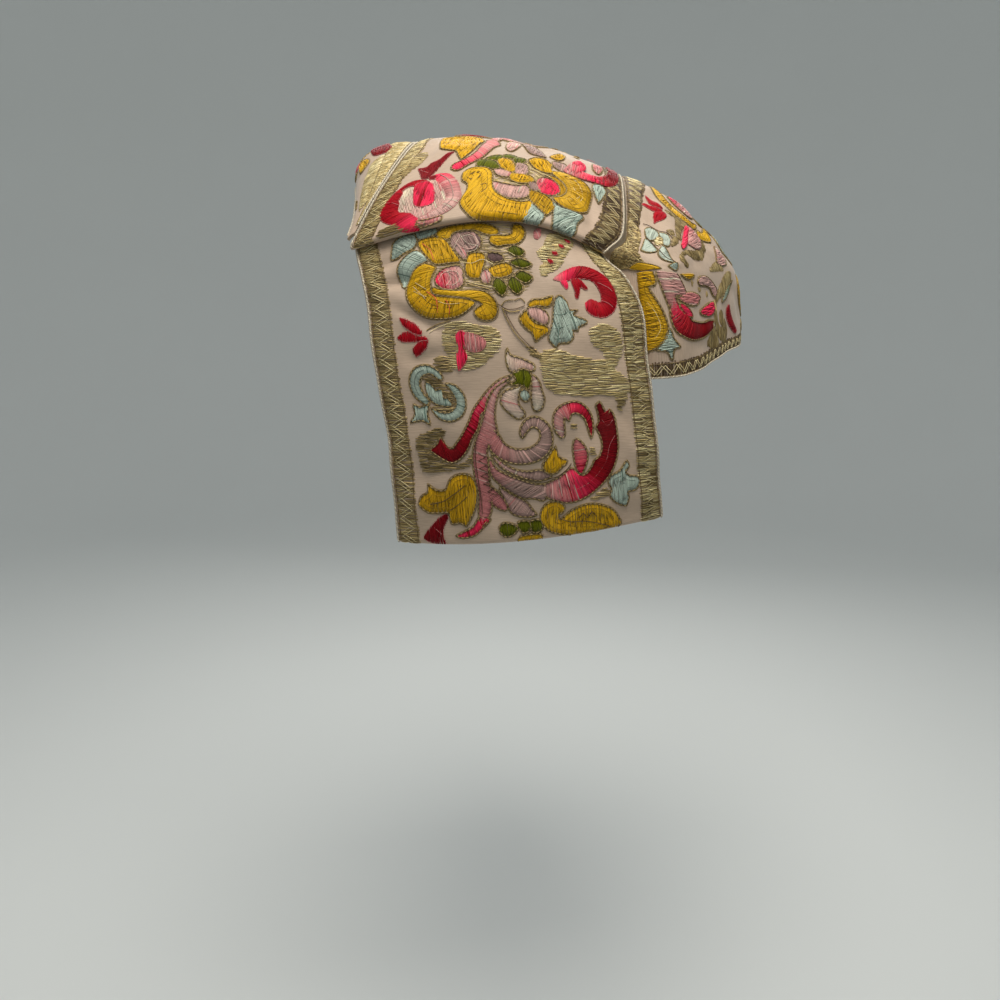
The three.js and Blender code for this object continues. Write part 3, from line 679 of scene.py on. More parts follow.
# Rows of the grid along each part of the crown ribbon's path, and columns across it.
CROWN_STEPS = 52
TUCK_STEPS = 6
TURN_STEPS = 7
FLAP_LEAD_STEPS = 6
FLAP_STEPS = 74
HEM_STEPS = 6
RIBBON_COLUMNS = 62
# Share of the flap's path at which it comes out from under the fold.
FLAP_FOLD = 0.2
# Rows of a turn that stitches may follow.
LIP_ROWS = 5

# Dents fade out over this many mm at a seam or a fold, below a flap's fold, at its foot and on the wall.
SEAM_FADE = 9.0
FLAP_FADE = 14.0
FOOT_FADE = 10.0
WALL_FADE = 8.0
# The slope and the wall lie smooth from this v on, where the flaps cover them.
SLOPE_SMOOTH = 62.0
WALL_SMOOTH = 74.0
# Where along the puckers the flaps and the wall start, so that they differ from the crown and the slope.
FLAP_PUCKER_START = 60.0
WALL_PUCKER_START = 31.0
# Depth of the flaps' and the slope's puckers as shares of the crown's.
FLAP_PUCKERS = 1.3
SLOPE_PUCKERS = 1.4


def drop(points, normals, turns):
    """Points under an outer face by half the wall and by so many radii of a turn."""
    return points - (0.5 * CAD_WALL + turns * TURN_RADIUS) * normals


def lay_crown_top(crown, w, depth):
    """The crown's outer face from the middle plane to its fold: points, normals and v."""
    s = np.linspace(0, 1, CROWN_STEPS)
    points = crown.points(s, w)
    normals = crown.normals(s, w)
    u = RIBBON_WIDTH * w
    v = lengths_along(points)
    seam_fade = ease(np.minimum(u, RIBBON_WIDTH - u) / SEAM_FADE)
    fold_fade = ease((v[-1] - v) / SEAM_FADE)
    relief = puckers(u, v[:, None], depth) + creased(u, v[:, None], CROWN_CREASES)
    points += (relief * seam_fade * fold_fade[:, None])[..., None] * normals
    return points, normals, v


def lay_flap(lead, w, depth):
    """A flap's outer face from its lead under the fold to its foot: points, normals, directions and v."""
    s = np.concatenate([np.linspace(0, FLAP_FOLD, FLAP_LEAD_STEPS, endpoint=False),
                        np.linspace(FLAP_FOLD, 1, FLAP_STEPS)])
    points = curve(np.concatenate([lead, across_rows(FLAP_ROWS, w)]), s)
    along = np.gradient(points, s, axis=0)
    normals = unit(np.cross(along, np.gradient(points, w, axis=1)))
    u = RIBBON_WIDTH * w
    v = lengths_along(points)
    v -= v[FLAP_LEAD_STEPS]
    fade = ease(v / FLAP_FADE) * ease((v[-1] - v) / FOOT_FADE)
    relief = puckers(u, v[:, None] + FLAP_PUCKER_START, FLAP_PUCKERS * depth)
    relief += creased(u, v[:, None], FLAP_CREASES)
    points += (relief * fade[:, None])[..., None] * normals
    return points, normals, along, v


def hem_rows(points, normals, v):
    """Rows of the hem that is turned in behind a flap's foot: points and right-side normals."""
    for back in np.linspace(0, HEM_TURN, HEM_STEPS):
        level = np.interp(v[-1] - back, v, np.arange(len(v)))
        low = int(level)
        high = min(low + 1, len(v) - 1)
        row = points[low] + (level - low) * (points[high] - points[low])
        yield drop(row, normals[low], 2)[None], -normals[low][None]


def crown_strips(ribbon, crown_v, flap_v, wall):
    """The strips of the crown ribbon that show their right side: the crown and both flaps."""
    lip = np.arange(1, LIP_ROWS + 1) * math.pi / (TURN_STEPS + 1) * (TURN_RADIUS + 0.5 * wall)
    top_v = np.concatenate([crown_v, crown_v[-1] + lip])
    hang_v = np.concatenate([flap_v, flap_v[-1] + lip])
    # The left half follows the middle row, and the right half goes before it.
    centre = len(ribbon.v) // 2
    first = CROWN_STEPS + TURN_STEPS + TUCK_STEPS + TURN_STEPS
    top_rows = slice(centre - len(top_v) + 1, centre + len(top_v))
    left_rows = slice(centre + first, centre + first + len(hang_v))
    right_rows = slice(centre - first, centre - first - len(hang_v), -1)
    every = slice(None)
    return {
        "crown": ribbon.strip(top_rows, every, ribbon.u, np.concatenate([-top_v[:0:-1], top_v]), wall),
        "left_flap": ribbon.strip(left_rows, every, ribbon.u, hang_v, wall),
        "right_flap": ribbon.strip(right_rows, every, ribbon.u, hang_v, wall),
    }


def lay_crown_ribbon(sizes):
    """The crown ribbon from right hem to left hem, and the strips of it that show their right side."""
    w = np.linspace(0, 1, RIBBON_COLUMNS)
    wall = sizes.wall / MM
    depth = sizes.pucker_depth / MM
    crown = half_face(CROWN_ROWS)

    def crown_at(back):
        """Points, normals and directions at a share back from the fold, one for each column."""
        found = [[grid(np.array([s]), np.array([x]))[0, 0] for s, x in zip(1 - back, w)]
                 for grid in (crown.points, crown.normals, crown.along)]
        return [np.array(part) for part in found]

    end = np.ones(1)
    fold = crown.points(end, w)[0]
    fold_normal = crown.normals(end, w)[0]
    fold_along = crown.along(end, w)[0]
    tuck = blend_columns(len(TUCK_DEPTHS), w) @ TUCK_DEPTHS / np.linalg.norm(fold_along, axis=-1)
    top, top_normal, top_along = crown_at(tuck)
    # The flap starts two turns below the crown: under the tuck's top, and then under the fold.
    lead = np.stack([top - 4 * TURN_RADIUS * top_normal, fold - 4 * TURN_RADIUS * fold_normal])
    crown_points, crown_normals, crown_v = lay_crown_top(crown, w, depth)
    flap_points, flap_normals, flap_along, flap_v = lay_flap(lead, w, depth)
    foot = flap_points[-1]
    foot_normal = flap_normals[-1]

    parts = [(drop(crown_points, crown_normals, 0), crown_normals)]
    parts.append(turn_round(drop(fold, fold_normal, 1), fold_normal, unit(fold_along), False, TURN_STEPS))
    for share in np.linspace(0, 1, TUCK_STEPS):
        points, normals, _ = crown_at(share * tuck)
        parts.append((drop(points, normals, 2)[None], -normals[None]))
    parts.append(turn_round(drop(top, top_normal, 3), top_normal, -unit(top_along), True, TURN_STEPS))
    parts.append((drop(flap_points, flap_normals, 0), flap_normals))
    parts.append(turn_round(drop(foot, foot_normal, 1), foot_normal, unit(flap_along[-1]), False, TURN_STEPS))
    parts.extend(hem_rows(flap_points, flap_normals, flap_v))
    half = np.concatenate([part[0] for part in parts])
    half_normals = np.concatenate([part[1] for part in parts])
    half_v = lengths_along(half)
    v = np.concatenate([-half_v[:0:-1], half_v])
    ribbon = Ribbon(mirrored(half), mirrored(half_normals), RIBBON_WIDTH * w, v)
    return ribbon, crown_strips(ribbon, crown_v, flap_v, wall)


# The seam is drawn up to the crown's corner where the back band turns under a flap:
# x, y, z in mm on the left.
SEAM_DRAW = np.array([1.6, -2.6, 0.5])
# Share of half the band's length where that is, and how far either way it is felt.
CORNER_SHARE = 0.75
CORNER_REACH = 0.22

BACK_STEPS = 121
SLOPE_COLUMNS = 36
WALL_COLUMNS = 22


def lay_back_band(sizes):
    """The back band from end to end, and its strips above and below the crease."""
    wall = sizes.wall / MM
    s = np.linspace(0, 1, BACK_STEPS)
    faces = []
    for columns, count in ((slice(0, 3), SLOPE_COLUMNS), (slice(2, 5), WALL_COLUMNS)):
        face = whole_face(BACK_ROWS[:, columns])
        w = np.linspace(0, 1, count)
        faces.append((face.points(s, w), face.normals(s, w), w))
    (slope, slope_normals, slope_w), (lower, lower_normals, lower_w) = faces
    crease_normals = unit(slope_normals[:, -1] + lower_normals[:, 0])
    slope_normals[:, -1] = crease_normals
    lower_normals[:, 0] = crease_normals
    near_corner = ease(1 - np.abs(np.abs(2 * s - 1) - CORNER_SHARE) / CORNER_REACH)
    draw = SEAM_DRAW * np.stack([np.sign(s - 0.5), np.ones_like(s), np.ones_like(s)], axis=-1)
    slope += (near_corner[:, None] * (1 - slope_w) ** 2)[..., None] * draw[:, None]
    slope_v = lengths_along(slope[:, :-1])
    slope_v -= 0.5 * slope_v[-1]
    lower_v = lengths_along(lower)
    lower_v -= 0.5 * lower_v[-1]
    slope_u = SLOPE_WIDTH * slope_w
    lower_u = WALL_WIDTH * lower_w
    depth = sizes.pucker_depth / MM
    slope_fade = ease(np.minimum(slope_u, SLOPE_WIDTH - slope_u) / SEAM_FADE)
    slope_fade = slope_fade * ease((SLOPE_SMOOTH - np.abs(slope_v)) / FOOT_FADE)[:, None]
    slope_relief = puckers(slope_u, slope_v[:, None], SLOPE_PUCKERS * depth)
    slope_relief += creased(slope_u, np.abs(slope_v)[:, None], SLOPE_CREASES)
    slope += (slope_relief * slope_fade)[..., None] * slope_normals
    lower_fade = ease(lower_u / WALL_FADE) * ease((WALL_SMOOTH - np.abs(lower_v)) / WALL_FADE)[:, None]
    lower_relief = puckers(lower_u, lower_v[:, None] + WALL_PUCKER_START, depth)
    lower_relief += creased(lower_u, np.abs(lower_v)[:, None], WALL_CREASES)
    lower += (lower_relief * lower_fade)[..., None] * lower_normals
    points = np.concatenate([slope, lower[:, 1:]], axis=1)
    normals = np.concatenate([slope_normals, lower_normals[:, 1:]], axis=1)
    u = np.concatenate([slope_u, SLOPE_WIDTH + lower_u[1:]])
    ribbon = Ribbon(points - 0.5 * CAD_WALL * normals, normals, u, slope_v)
    every = slice(None)
    strips = {
        "back_slope": ribbon.strip(every, slice(0, SLOPE_COLUMNS), slope_u, slope_v, wall),
        "back_wall": ribbon.strip(every, slice(SLOPE_COLUMNS - 1, None), lower_u, lower_v, wall),
    }
    return ribbon, strips


FRONT_STEPS = 101
FRONT_COLUMNS = 26


def lay_front_band(sizes):
    """The front band from end to end, and its one strip."""
    s = np.linspace(0, 1, FRONT_STEPS)
    w = np.linspace(0, 1, FRONT_COLUMNS)
    face = whole_face(FRONT_ROWS)
    points = face.points(s, w)
    normals = face.normals(s, w)
    v = lengths_along(points)
    v -= 0.5 * v[-1]
    u = FRONT_WIDTH * w
    ribbon = Ribbon(points - 0.5 * CAD_WALL * normals, normals, u, v)
    every = slice(None)
    return ribbon, {"front": ribbon.strip(every, every, u, v, sizes.wall / MM)}


# Threads.

class Threads:
    """Threads of one kind, gathered for one piece: points in mm, with a dye and a fullness at each; the dye
    also holds painted shade and glints.
    """

    def __init__(self):
        self.points = []
        self.dyes = []
        self.fullness = []

    def add(self, points, dye, fullness):
        self.points.append(points)
        self.dyes.append(np.broadcast_to(dye, (len(points), 3)))
        self.fullness.append(np.broadcast_to(fullness, len(points)))


def smooth_line(points, sharp, closed, step):
    """A curve through points that runs straight into its sharp corners, with a point about every step mm."""
    count = len(points)
    spans = count if closed else count - 1
    parts = []
    for i in range(spans):
        j = (i + 1) % count
        start, stop = points[i], points[j]
        first = not closed and i == 0
        last = not closed and i == spans - 1
        before = start if sharp[i] or first else points[i - 1]
        after = stop if sharp[j] or last else points[(i + 2) % count]
        steps = max(2, round(np.linalg.norm(stop - start) / step))
        parts.append(span(before, start, stop, after, np.linspace(0, 1, steps, endpoint=False)[:, None]))
    if not closed:
        parts.append(points[-1:])
    return np.concatenate(parts)


def rows_inside(outline, angle, pitch):
    """Start and stop of each row of thread inside a closed outline, at an angle from u."""
    turn = math.radians(angle)
    along = np.array([math.cos(turn), math.sin(turn)])
    across = np.array([-along[1], along[0]])
    p = outline @ along
    q = outline @ across
    p_next = np.roll(p, -1)
    q_next = np.roll(q, -1)
    for level in np.arange(q.min() + 0.5 * pitch, q.max(), pitch):
        cut = (q <= level) != (q_next <= level)
        share = (level - q[cut]) / (q_next[cut] - q[cut])
        ends = np.sort(p[cut] + share * (p_next[cut] - p[cut]))
        for start, stop in ends.reshape(-1, 2):
            yield start * along + level * across, stop * along + level * across


def spread(line_points, count):
    """Points at even lengths along a line."""
    steps = np.linalg.norm(np.diff(line_points, axis=0), axis=1)
    lengths = np.concatenate([[0], np.cumsum(steps)])
    wanted = np.linspace(0, lengths[-1], count)
    return lengths[-1], np.stack([np.interp(wanted, lengths, line_points[:, k]) for k in (0, 1)], axis=1)


def satin_rows(motif, pitch):
    """Start and stop of each row of thread from side to side of a motif, from its first tip to its second."""
    first, second = motif.tips
    count = len(motif.points)
    forth = [(first + i) % count for i in range((second - first) % count + 1)]
    back = [(first - i) % count for i in range((first - second) % count + 1)]
    sides = [smooth_line(motif.points[way], motif.sharp[way], False, FILL_STEP) for way in (forth, back)]
    rows = math.ceil(max(spread(side, 2)[0] for side in sides) / pitch)
    starts, stops = [spread(side, rows + 1)[1] for side in sides]
    return list(zip(starts, stops))[1:-1]


def clip_row(start, stop, low, high):
    """The part of a row between the low and high corners of a chart, or None."""
    way = stop - start
    first, last = 0.0, 1.0
    for axis in (0, 1):
        if abs(way[axis]) < TINY:
            if not low[axis] <= start[axis] <= high[axis]:
                return None
            continue
        a = (low[axis] - start[axis]) / way[axis]
        b = (high[axis] - start[axis]) / way[axis]
        first = max(first, min(a, b))
        last = min(last, max(a, b))
    if first >= last:
        return None
    return start + first * way, start + last * way


# Spacing in mm of the points of a stitch, and of the outlines of motifs and of single lines.
POINT_SPACING = 1.7
FILL_STEP = 0.8
OUTLINE_STEP = 0.7
LINE_STEP = 0.9
SHORTEST_STITCH = 0.5
# A row's first stitch is between these shares of the longest one, and its last is no shorter than this share.
FIRST_STITCH = (0.45, 1.0)
LAST_STITCH = 0.3
# A stitch leaves the cloth at this height in mm, and at a break it stays this share of the way up.
# Its ends are this thin, and their colour gets painted shade over this share of its length, less on a long
# one.
STITCH_BASE = 0.04
BREAK_HEIGHT = 0.6
END_FULLNESS = 0.75
DIP_SHARE = 0.5
# How each thread is laid, in mm: how far its ends overrun a motif and stray aside at most,
# and how far its middle stands up, by itself and for each mm of the stitch.
Laying = namedtuple("Laying", "overrun stray rise swell")
LAYING = {
    "silk": Laying(overrun=0.25, stray=0.08, rise=0.12, swell=0.045),
    "gold": Laying(overrun=0.7, stray=0.3, rise=0.1, swell=0.02),
}
# Painted shade: how dark a thread's colour is made where it dips at a motif's edge, and at a break inside the
# motif.
EDGE_PAINTED_SHADE = 0.55
BREAK_PAINTED_SHADE = 0.85
# Odd threads of another dye that turn up in a motif, and how often.
FLECKS = {"mustard": ["ochre"], "pink": ["blush"], "blush": ["cream", "pink"], "aqua": ["slate", "mist"],
          "mist": ["aqua"], "crimson": ["wine"], "rose": ["crimson"], "mauve": ["blush"], "olive": ["moss"],
          "ochre": ["mustard"]}
FLECK_SHARE = 0.09
# How far along a motif's axis a stitch may take its dye from, and the least and most shades of threads.
DYE_DRIFT = 0.08
SILK_SHADES = (0.78, 1.12)
GOLD_SHADES = (0.8, 1.12)
LINE_SHADES = (0.75, 1.2)
# Gold stitches that catch the light: how often, and by how much.
GLINT_SHARE = 0.06
GLINT = 1.5
# How far an outline thread rises between the stitches that hold it, in mm.
COUCHING_RISE = 0.06
# A line inside an outline keeps at least this share of its inset from the outline's other side.
ECHO_CLEARANCE = 0.88
# Fine threads among the single lines, as shares of the outline thread.
LINE_FULLNESS = {"cream": 0.35, "blush": 0.4, "rose": 0.4, "pink": 0.45, "gilt": 0.55, "brass": 0.6,
                 "umber": 0.75, "slate": 0.8}


def lay_stitch(threads, strip, start, stop, dye, heights, shades):
    """One stitch from start to stop: heights at its first end, middle and last end, and its ends' painted
    shade.
    """
    length = np.linalg.norm(stop - start)
    t = np.linspace(0, 1, max(3, math.ceil(length / POINT_SPACING) + 1))
    route = start + t[:, None] * (stop - start)
    ends = heights[0] + t * (heights[2] - heights[0])
    arch = np.sin(math.pi * t) ** 0.5
    lift = ends + arch * (heights[1] - ends)
    # The ends' colour gets painted shade, over a share that is less on a long stitch.
    dip = DIP_SHARE / math.sqrt(1 + length)
    shade = np.interp(t, [0, dip, 1 - dip, 1], [shades[0], 1, 1, shades[1]])
    fullness = END_FULLNESS + (1 - END_FULLNESS) * arch
    threads.add(strip.at(route[:, 0], route[:, 1], lift), dye * shade[:, None], fullness)


def fill_motif(threads, strip, motif, palette, sizes, limits, rng):
    """Fills a closed motif with rows of floss or gold thread."""
    gold = motif.stitch == "gold"
    laying = LAYING[motif.stitch]
    pitch = (sizes.gold_pitch if gold else sizes.silk_pitch) / MM
    longest = (sizes.longest_gold if gold else sizes.longest_stitch) / MM
    if motif.tips:
        rows = satin_rows(motif, pitch)
    else:
        rows = rows_inside(smooth_line(motif.points, motif.sharp, True, FILL_STEP), motif.angle, pitch)
    base = STITCH_BASE + motif.lift
    # Painted shade at a motif's edge: deeper where the motif is outlined.
    edge_painted_shade = EDGE_PAINTED_SHADE if motif.couched else BREAK_PAINTED_SHADE
    for start, stop in rows:
        kept = clip_row(start, stop, *limits)
        if kept is None:
            continue
        way = kept[1] - kept[0]
        length = np.linalg.norm(way)
        if length < SHORTEST_STITCH:
            continue
        way = way / length
        aside = np.array([-way[1], way[0]])
        first = -rng.uniform(0, laying.overrun)
        last = length + rng.uniform(0, laying.overrun)
        cuts = np.arange(rng.uniform(*FIRST_STITCH) * longest, length - LAST_STITCH * longest, longest)
        breaks = [first, *cuts, last]
        for i, (a, b) in enumerate(zip(breaks, breaks[1:])):
            begin = kept[0] + a * way + rng.uniform(-laying.stray, laying.stray) * aside
            end = kept[0] + b * way + rng.uniform(-laying.stray, laying.stray) * aside
            dye = pick_dye(motif, 0.5 * (begin + end), palette, rng)
            top = base + (laying.rise + laying.swell * (b - a))
            # A stitch dips deep at the motif's edge, and less where the next one follows it.
            inner = base + BREAK_HEIGHT * (top - base)
            edges = i == 0, i == len(breaks) - 2
            heights = base if edges[0] else inner, top, base if edges[1] else inner
            # Painted shade on the stitch's ends: darker at the motif's edge than at a break.
            shades = [edge_painted_shade if edge else BREAK_PAINTED_SHADE for edge in edges]
            lay_stitch(threads, strip, begin, end, dye, heights, shades)


def pick_dye(motif, place, palette, rng):
    """The dye of one stitch: by its place along the motif's axis, or drawn from a patch's tones."""
    if motif.stitch == "gold":
        name = motif.dyes[rng.integers(len(motif.dyes))]
        glint = GLINT if rng.uniform() < GLINT_SHARE else 1.0
        return palette[name] * glint * rng.uniform(*GOLD_SHADES)
    stop = 0.0
    if motif.axis is not None:
        start = np.array(motif.axis[:2], dtype=float)
        way = np.array(motif.axis[2:], dtype=float) - start
        share = (place - start) @ way / (way @ way) + rng.uniform(-DYE_DRIFT, DYE_DRIFT)
        stop = np.clip(share, 0, 1) * (len(motif.dyes) - 1)
    name = motif.dyes[round(stop)]
    if name in FLECKS and rng.uniform() < FLECK_SHARE:
        dye = palette[FLECKS[name][rng.integers(len(FLECKS[name]))]]
    else:
        near = int(stop)
        far = min(near + 1, len(motif.dyes) - 1)
        dye = palette[motif.dyes[near]] * (near + 1 - stop) + palette[motif.dyes[far]] * (stop - near)
    return dye * rng.uniform(*SILK_SHADES)


def sew_line(threads, strip, route, dyes, lift, limits, rng, keep=None, fullness=1.0):
    """A thread sewn down along a route; its dyes take turns, and what is outside the limits is left out."""
    inside = np.all((route >= limits[0]) & (route <= limits[1]), axis=1)
    if keep is not None:
        inside &= keep
    starts = np.flatnonzero(inside & ~np.concatenate([[False], inside[:-1]]))
    stops = np.flatnonzero(inside & ~np.concatenate([inside[1:], [False]])) + 1
    for start, stop in zip(starts, stops):
        if stop - start < 2:
            continue
        part = route[start:stop]
        turn = np.arange(len(part)) % len(dyes)
        # The couching stitches press the thread down at every second point.
        lifts = lift + COUCHING_RISE * (np.arange(len(part)) % 2)
        shades = rng.uniform(*LINE_SHADES, (len(part), 1))
        threads.add(strip.at(part[:, 0], part[:, 1], lifts), np.array(dyes)[turn] * shades, fullness)


def echo(outline, inset):
    """An outline drawn inset inside itself, and where it keeps clear of the outline's other side."""
    ahead = np.roll(outline, -1, axis=0) - np.roll(outline, 1, axis=0)
    inward = unit(np.stack([-ahead[:, 1], ahead[:, 0]], axis=1) + TINY)
    following = np.roll(outline, -1, axis=0)
    turning = np.sum(outline[:, 0] * following[:, 1] - following[:, 0] * outline[:, 1])
    inside = outline + inset * math.copysign(1, turning) * inward
    gaps = np.linalg.norm(inside[:, None] - outline[None], axis=2).min(axis=1)
    return inside, gaps > ECHO_CLEARANCE * inset


# How a thread lies along a line: its height in mm, and its thickness as a share of the outline thread.
Edging = namedtuple("Edging", "lift fullness")
COUCHED_EDGE = Edging(0.27, 1.0)
FINE_EDGE = Edging(0.14, 0.5)
HALO = Edging(0.12, 0.55)
ECHO = Edging(0.5, 0.6)
ZIGZAG = Edging(0.36, 0.5)
BORDER_EDGE = Edging(0.2, 0.8)
# How far inside its outline a motif of these dyes is lined again, in mm, and in what shades of its dye.
ECHOED_DYES = ("mustard", "ochre", "aqua")
ECHO_INSETS = (1.5, 3.2)
ECHO_SHADE = 0.35
ECHO_GLEAM = 1.3
# How far outside an outline a gold thread runs, in mm, and how dark the outline's umber is.
HALO_OFFSET = 0.38
OUTLINE_SHADE = 0.45


def embroider(strip, chart, palette, sizes, limits, rng):
    """Silk, gold and couched threads of a chart on a strip."""
    work = {"silk": Threads(), "gold": Threads(), "line": Threads()}

    def sew(route, dyes, edging, lift, clear=None):
        sew_line(work["line"], strip, route, dyes, edging.lift + lift, limits, rng, clear, edging.fullness)

    couching = [OUTLINE_SHADE * palette["umber"], palette["gold"]]
    for motif in chart:
        if motif.stitch == "line":
            route = smooth_line(motif.points, motif.sharp, False, LINE_STEP)
            dye = motif.dyes[0]
            sew(route, [palette[dye]], Edging(0.0, LINE_FULLNESS.get(dye, 1.0)), motif.lift)
            continue
        fill_motif(work[motif.stitch], strip, motif, palette, sizes, limits, rng)
        route = smooth_line(motif.points, motif.sharp, True, OUTLINE_STEP)
        ring = np.concatenate([route, route[:1]])
        if motif.stitch == "silk" and not motif.couched:
            sew(ring, [palette["pink"]], FINE_EDGE, motif.lift)
        if motif.couched:
            sew(ring, couching, COUCHED_EDGE, motif.lift)
            halo, _ = echo(route, -HALO_OFFSET)
            sew(halo, [palette["gold"], palette["bronze"]], HALO, motif.lift)
            for inset in ECHO_INSETS if motif.dyes[0] in ECHOED_DYES else ():
                inner, clear = echo(route, inset)
                shade = ECHO_SHADE * palette[motif.dyes[0]]
                sew(inner, [shade, ECHO_GLEAM * shade], ECHO, motif.lift, clear)
    return work


Border = namedtuple("Border", "inner outer tone zigzag dye")
# A zigzag turns this share of its border's width inside it; the second follows by this share of a turn.
ZIGZAG_INSET = 0.12
ZIGZAG_LAG = 0.45
# Spacing of points along the zigzags and along a border's two edges, in mm.
ZIGZAG_STEP = 2.0
BORDER_STEP = 1.7


def weave_border(work, strip, border, palette, sizes, limits, rng):
    """A band of gold threads along a strip, with two zigzags sewn over it and a dark thread each side."""
    low, high = limits[0][1], limits[1][1]
    corners = [(border.inner, low), (border.outer, low), (border.outer, high), (border.inner, high)]
    sharp = np.ones(len(corners), dtype=bool)
    band = Motif("gold", LAME_TONES[border.tone].split(), np.array(corners), sharp, [], 0, None, False, 0.0)
    fill_motif(work["gold"], strip, band, palette, sizes, limits, rng)
    turns = np.arange(low, high, border.zigzag)
    inset = ZIGZAG_INSET * (border.outer - border.inner)
    across = np.where(np.arange(len(turns)) % 2, border.inner + inset, border.outer - inset)
    for lag in (0, ZIGZAG_LAG * border.zigzag):
        corners = np.stack([across, turns + lag], axis=1)
        route = smooth_line(corners, np.ones(len(turns), dtype=bool), False, ZIGZAG_STEP)
        sew_line(work["line"], strip, route, [palette[border.dye]], ZIGZAG.lift, limits, rng, None,
                 ZIGZAG.fullness)
    along = np.arange(low, high, BORDER_STEP)
    for u in (border.inner, border.outer):
        side = np.stack([np.full_like(along, u), along], axis=1)
        sew_line(work["line"], strip, side, [palette["bronze"], palette["umber"]], BORDER_EDGE.lift, limits,
                 rng, None, BORDER_EDGE.fullness)


def shifted(motif, u=0.0, v=0.0, turn=1):
    """A motif moved by u and v, and with turn -1 laid upside down first."""
    points = motif.points * [1, turn] + [u, v]
    axis = motif.axis
    if axis is not None:
        axis = (axis[0] + u, turn * axis[1] + v, axis[2] + u, turn * axis[3] + v)
    return motif._replace(points=points, axis=axis, angle=turn * motif.angle)


def both_sides(chart):
    """A chart of the left half with its mirror image on the right half."""
    return chart + [shifted(motif, turn=-1) for motif in chart]


def crown_chart():
    """The part of the flap's repeat that comes round on the crown's top, and the crown's own motifs."""
    top = [motif for motif in FLAP_CHART if motif.points[:, 1].max() <= CROWN_REPEAT_END]
    return [shifted(motif, *CROWN_REPEAT) for motif in top] + CROWN_CHART


# A selvedge cord, in mm: its height on the ribbon, the length and points of a twist, and its plies' offset.
CORD_LIFT = 0.22
PLY_TURN = 1.4
PLY_POINTS = 6
PLY_OFFSET = 0.17
# The second ply's colour has painted shade, this much as light as the first, so that the twist shows, and
# each one's shades vary between these.
PLY_PAINTED_SHADE = 0.7
PLY_SHADES = (0.85, 1.05)


def twist_cord(threads, strip, u, low, high, dye, rng):
    """A cord of two plies twisted round each other along a selvedge."""
    v = np.linspace(low, high, round((high - low) / PLY_TURN * PLY_POINTS))
    edge = np.full_like(v, u)
    heart = strip.at(edge, v, CORD_LIFT)
    outward = unit(strip.at(edge, v, 1.0) - strip.at(edge, v, 0.0))
    side = unit(np.cross(outward, np.gradient(heart, axis=0)))
    # The second ply gets painted shade, so that the twist shows.
    for ply, tone in ((0, 1.0), (math.pi, PLY_PAINTED_SHADE)):
        angle = (2 * math.pi * (v - low) / PLY_TURN + ply)[:, None]
        points = heart + PLY_OFFSET * (np.cos(angle) * outward + np.sin(angle) * side)
        shades = tone * rng.uniform(*PLY_SHADES, (len(v), 1))
        threads.add(points, dye * shades, 1.0)


# Node trees and materials.

def linear(hex_colour):
    """Linear red, green and blue of an sRGB hex colour."""
    channels = [int(hex_colour[i:i + 2], 16) / 255 for i in (1, 3, 5)]
    return tuple(c / 12.92 if c <= 0.04045 else ((c + 0.055) / 1.055) ** 2.4 for c in channels)


def add_node(tree, kind, fields=None, inputs=None):
    """Adds a node with its settings; an input is a value or another node's output."""
    node = tree.nodes.new(kind)
    for name, value in (fields or {}).items():
        setattr(node, name, value)
    for name, value in (inputs or {}).items():
        if isinstance(value, bpy.types.NodeSocket):
            tree.links.new(value, node.inputs[name])
        else:
            node.inputs[name].default_value = value
    return node


def new_material(name):
    """An empty material's node tree, for a shader to be added."""
    material = bpy.data.materials.new(name)
    material.use_nodes = True
    material.node_tree.nodes.clear()
    return material, material.node_tree


def finish_material(tree, shader):
    add_node(tree, "ShaderNodeOutputMaterial", inputs={"Surface": shader.outputs["BSDF"]})


# The ribbon's UV map counts this many units to the millimetre.
UV_PER_MM = 0.01
# A Wave texture of scale 1 turns through this many radians in one unit.
WAVE_RADIANS = 20


def wave_scale(pitch_mm):
    """Scale of a Wave texture whose bands are pitch_mm apart on the UV map."""
    return 2 * math.pi / WAVE_RADIANS / (pitch_mm * UV_PER_MM)


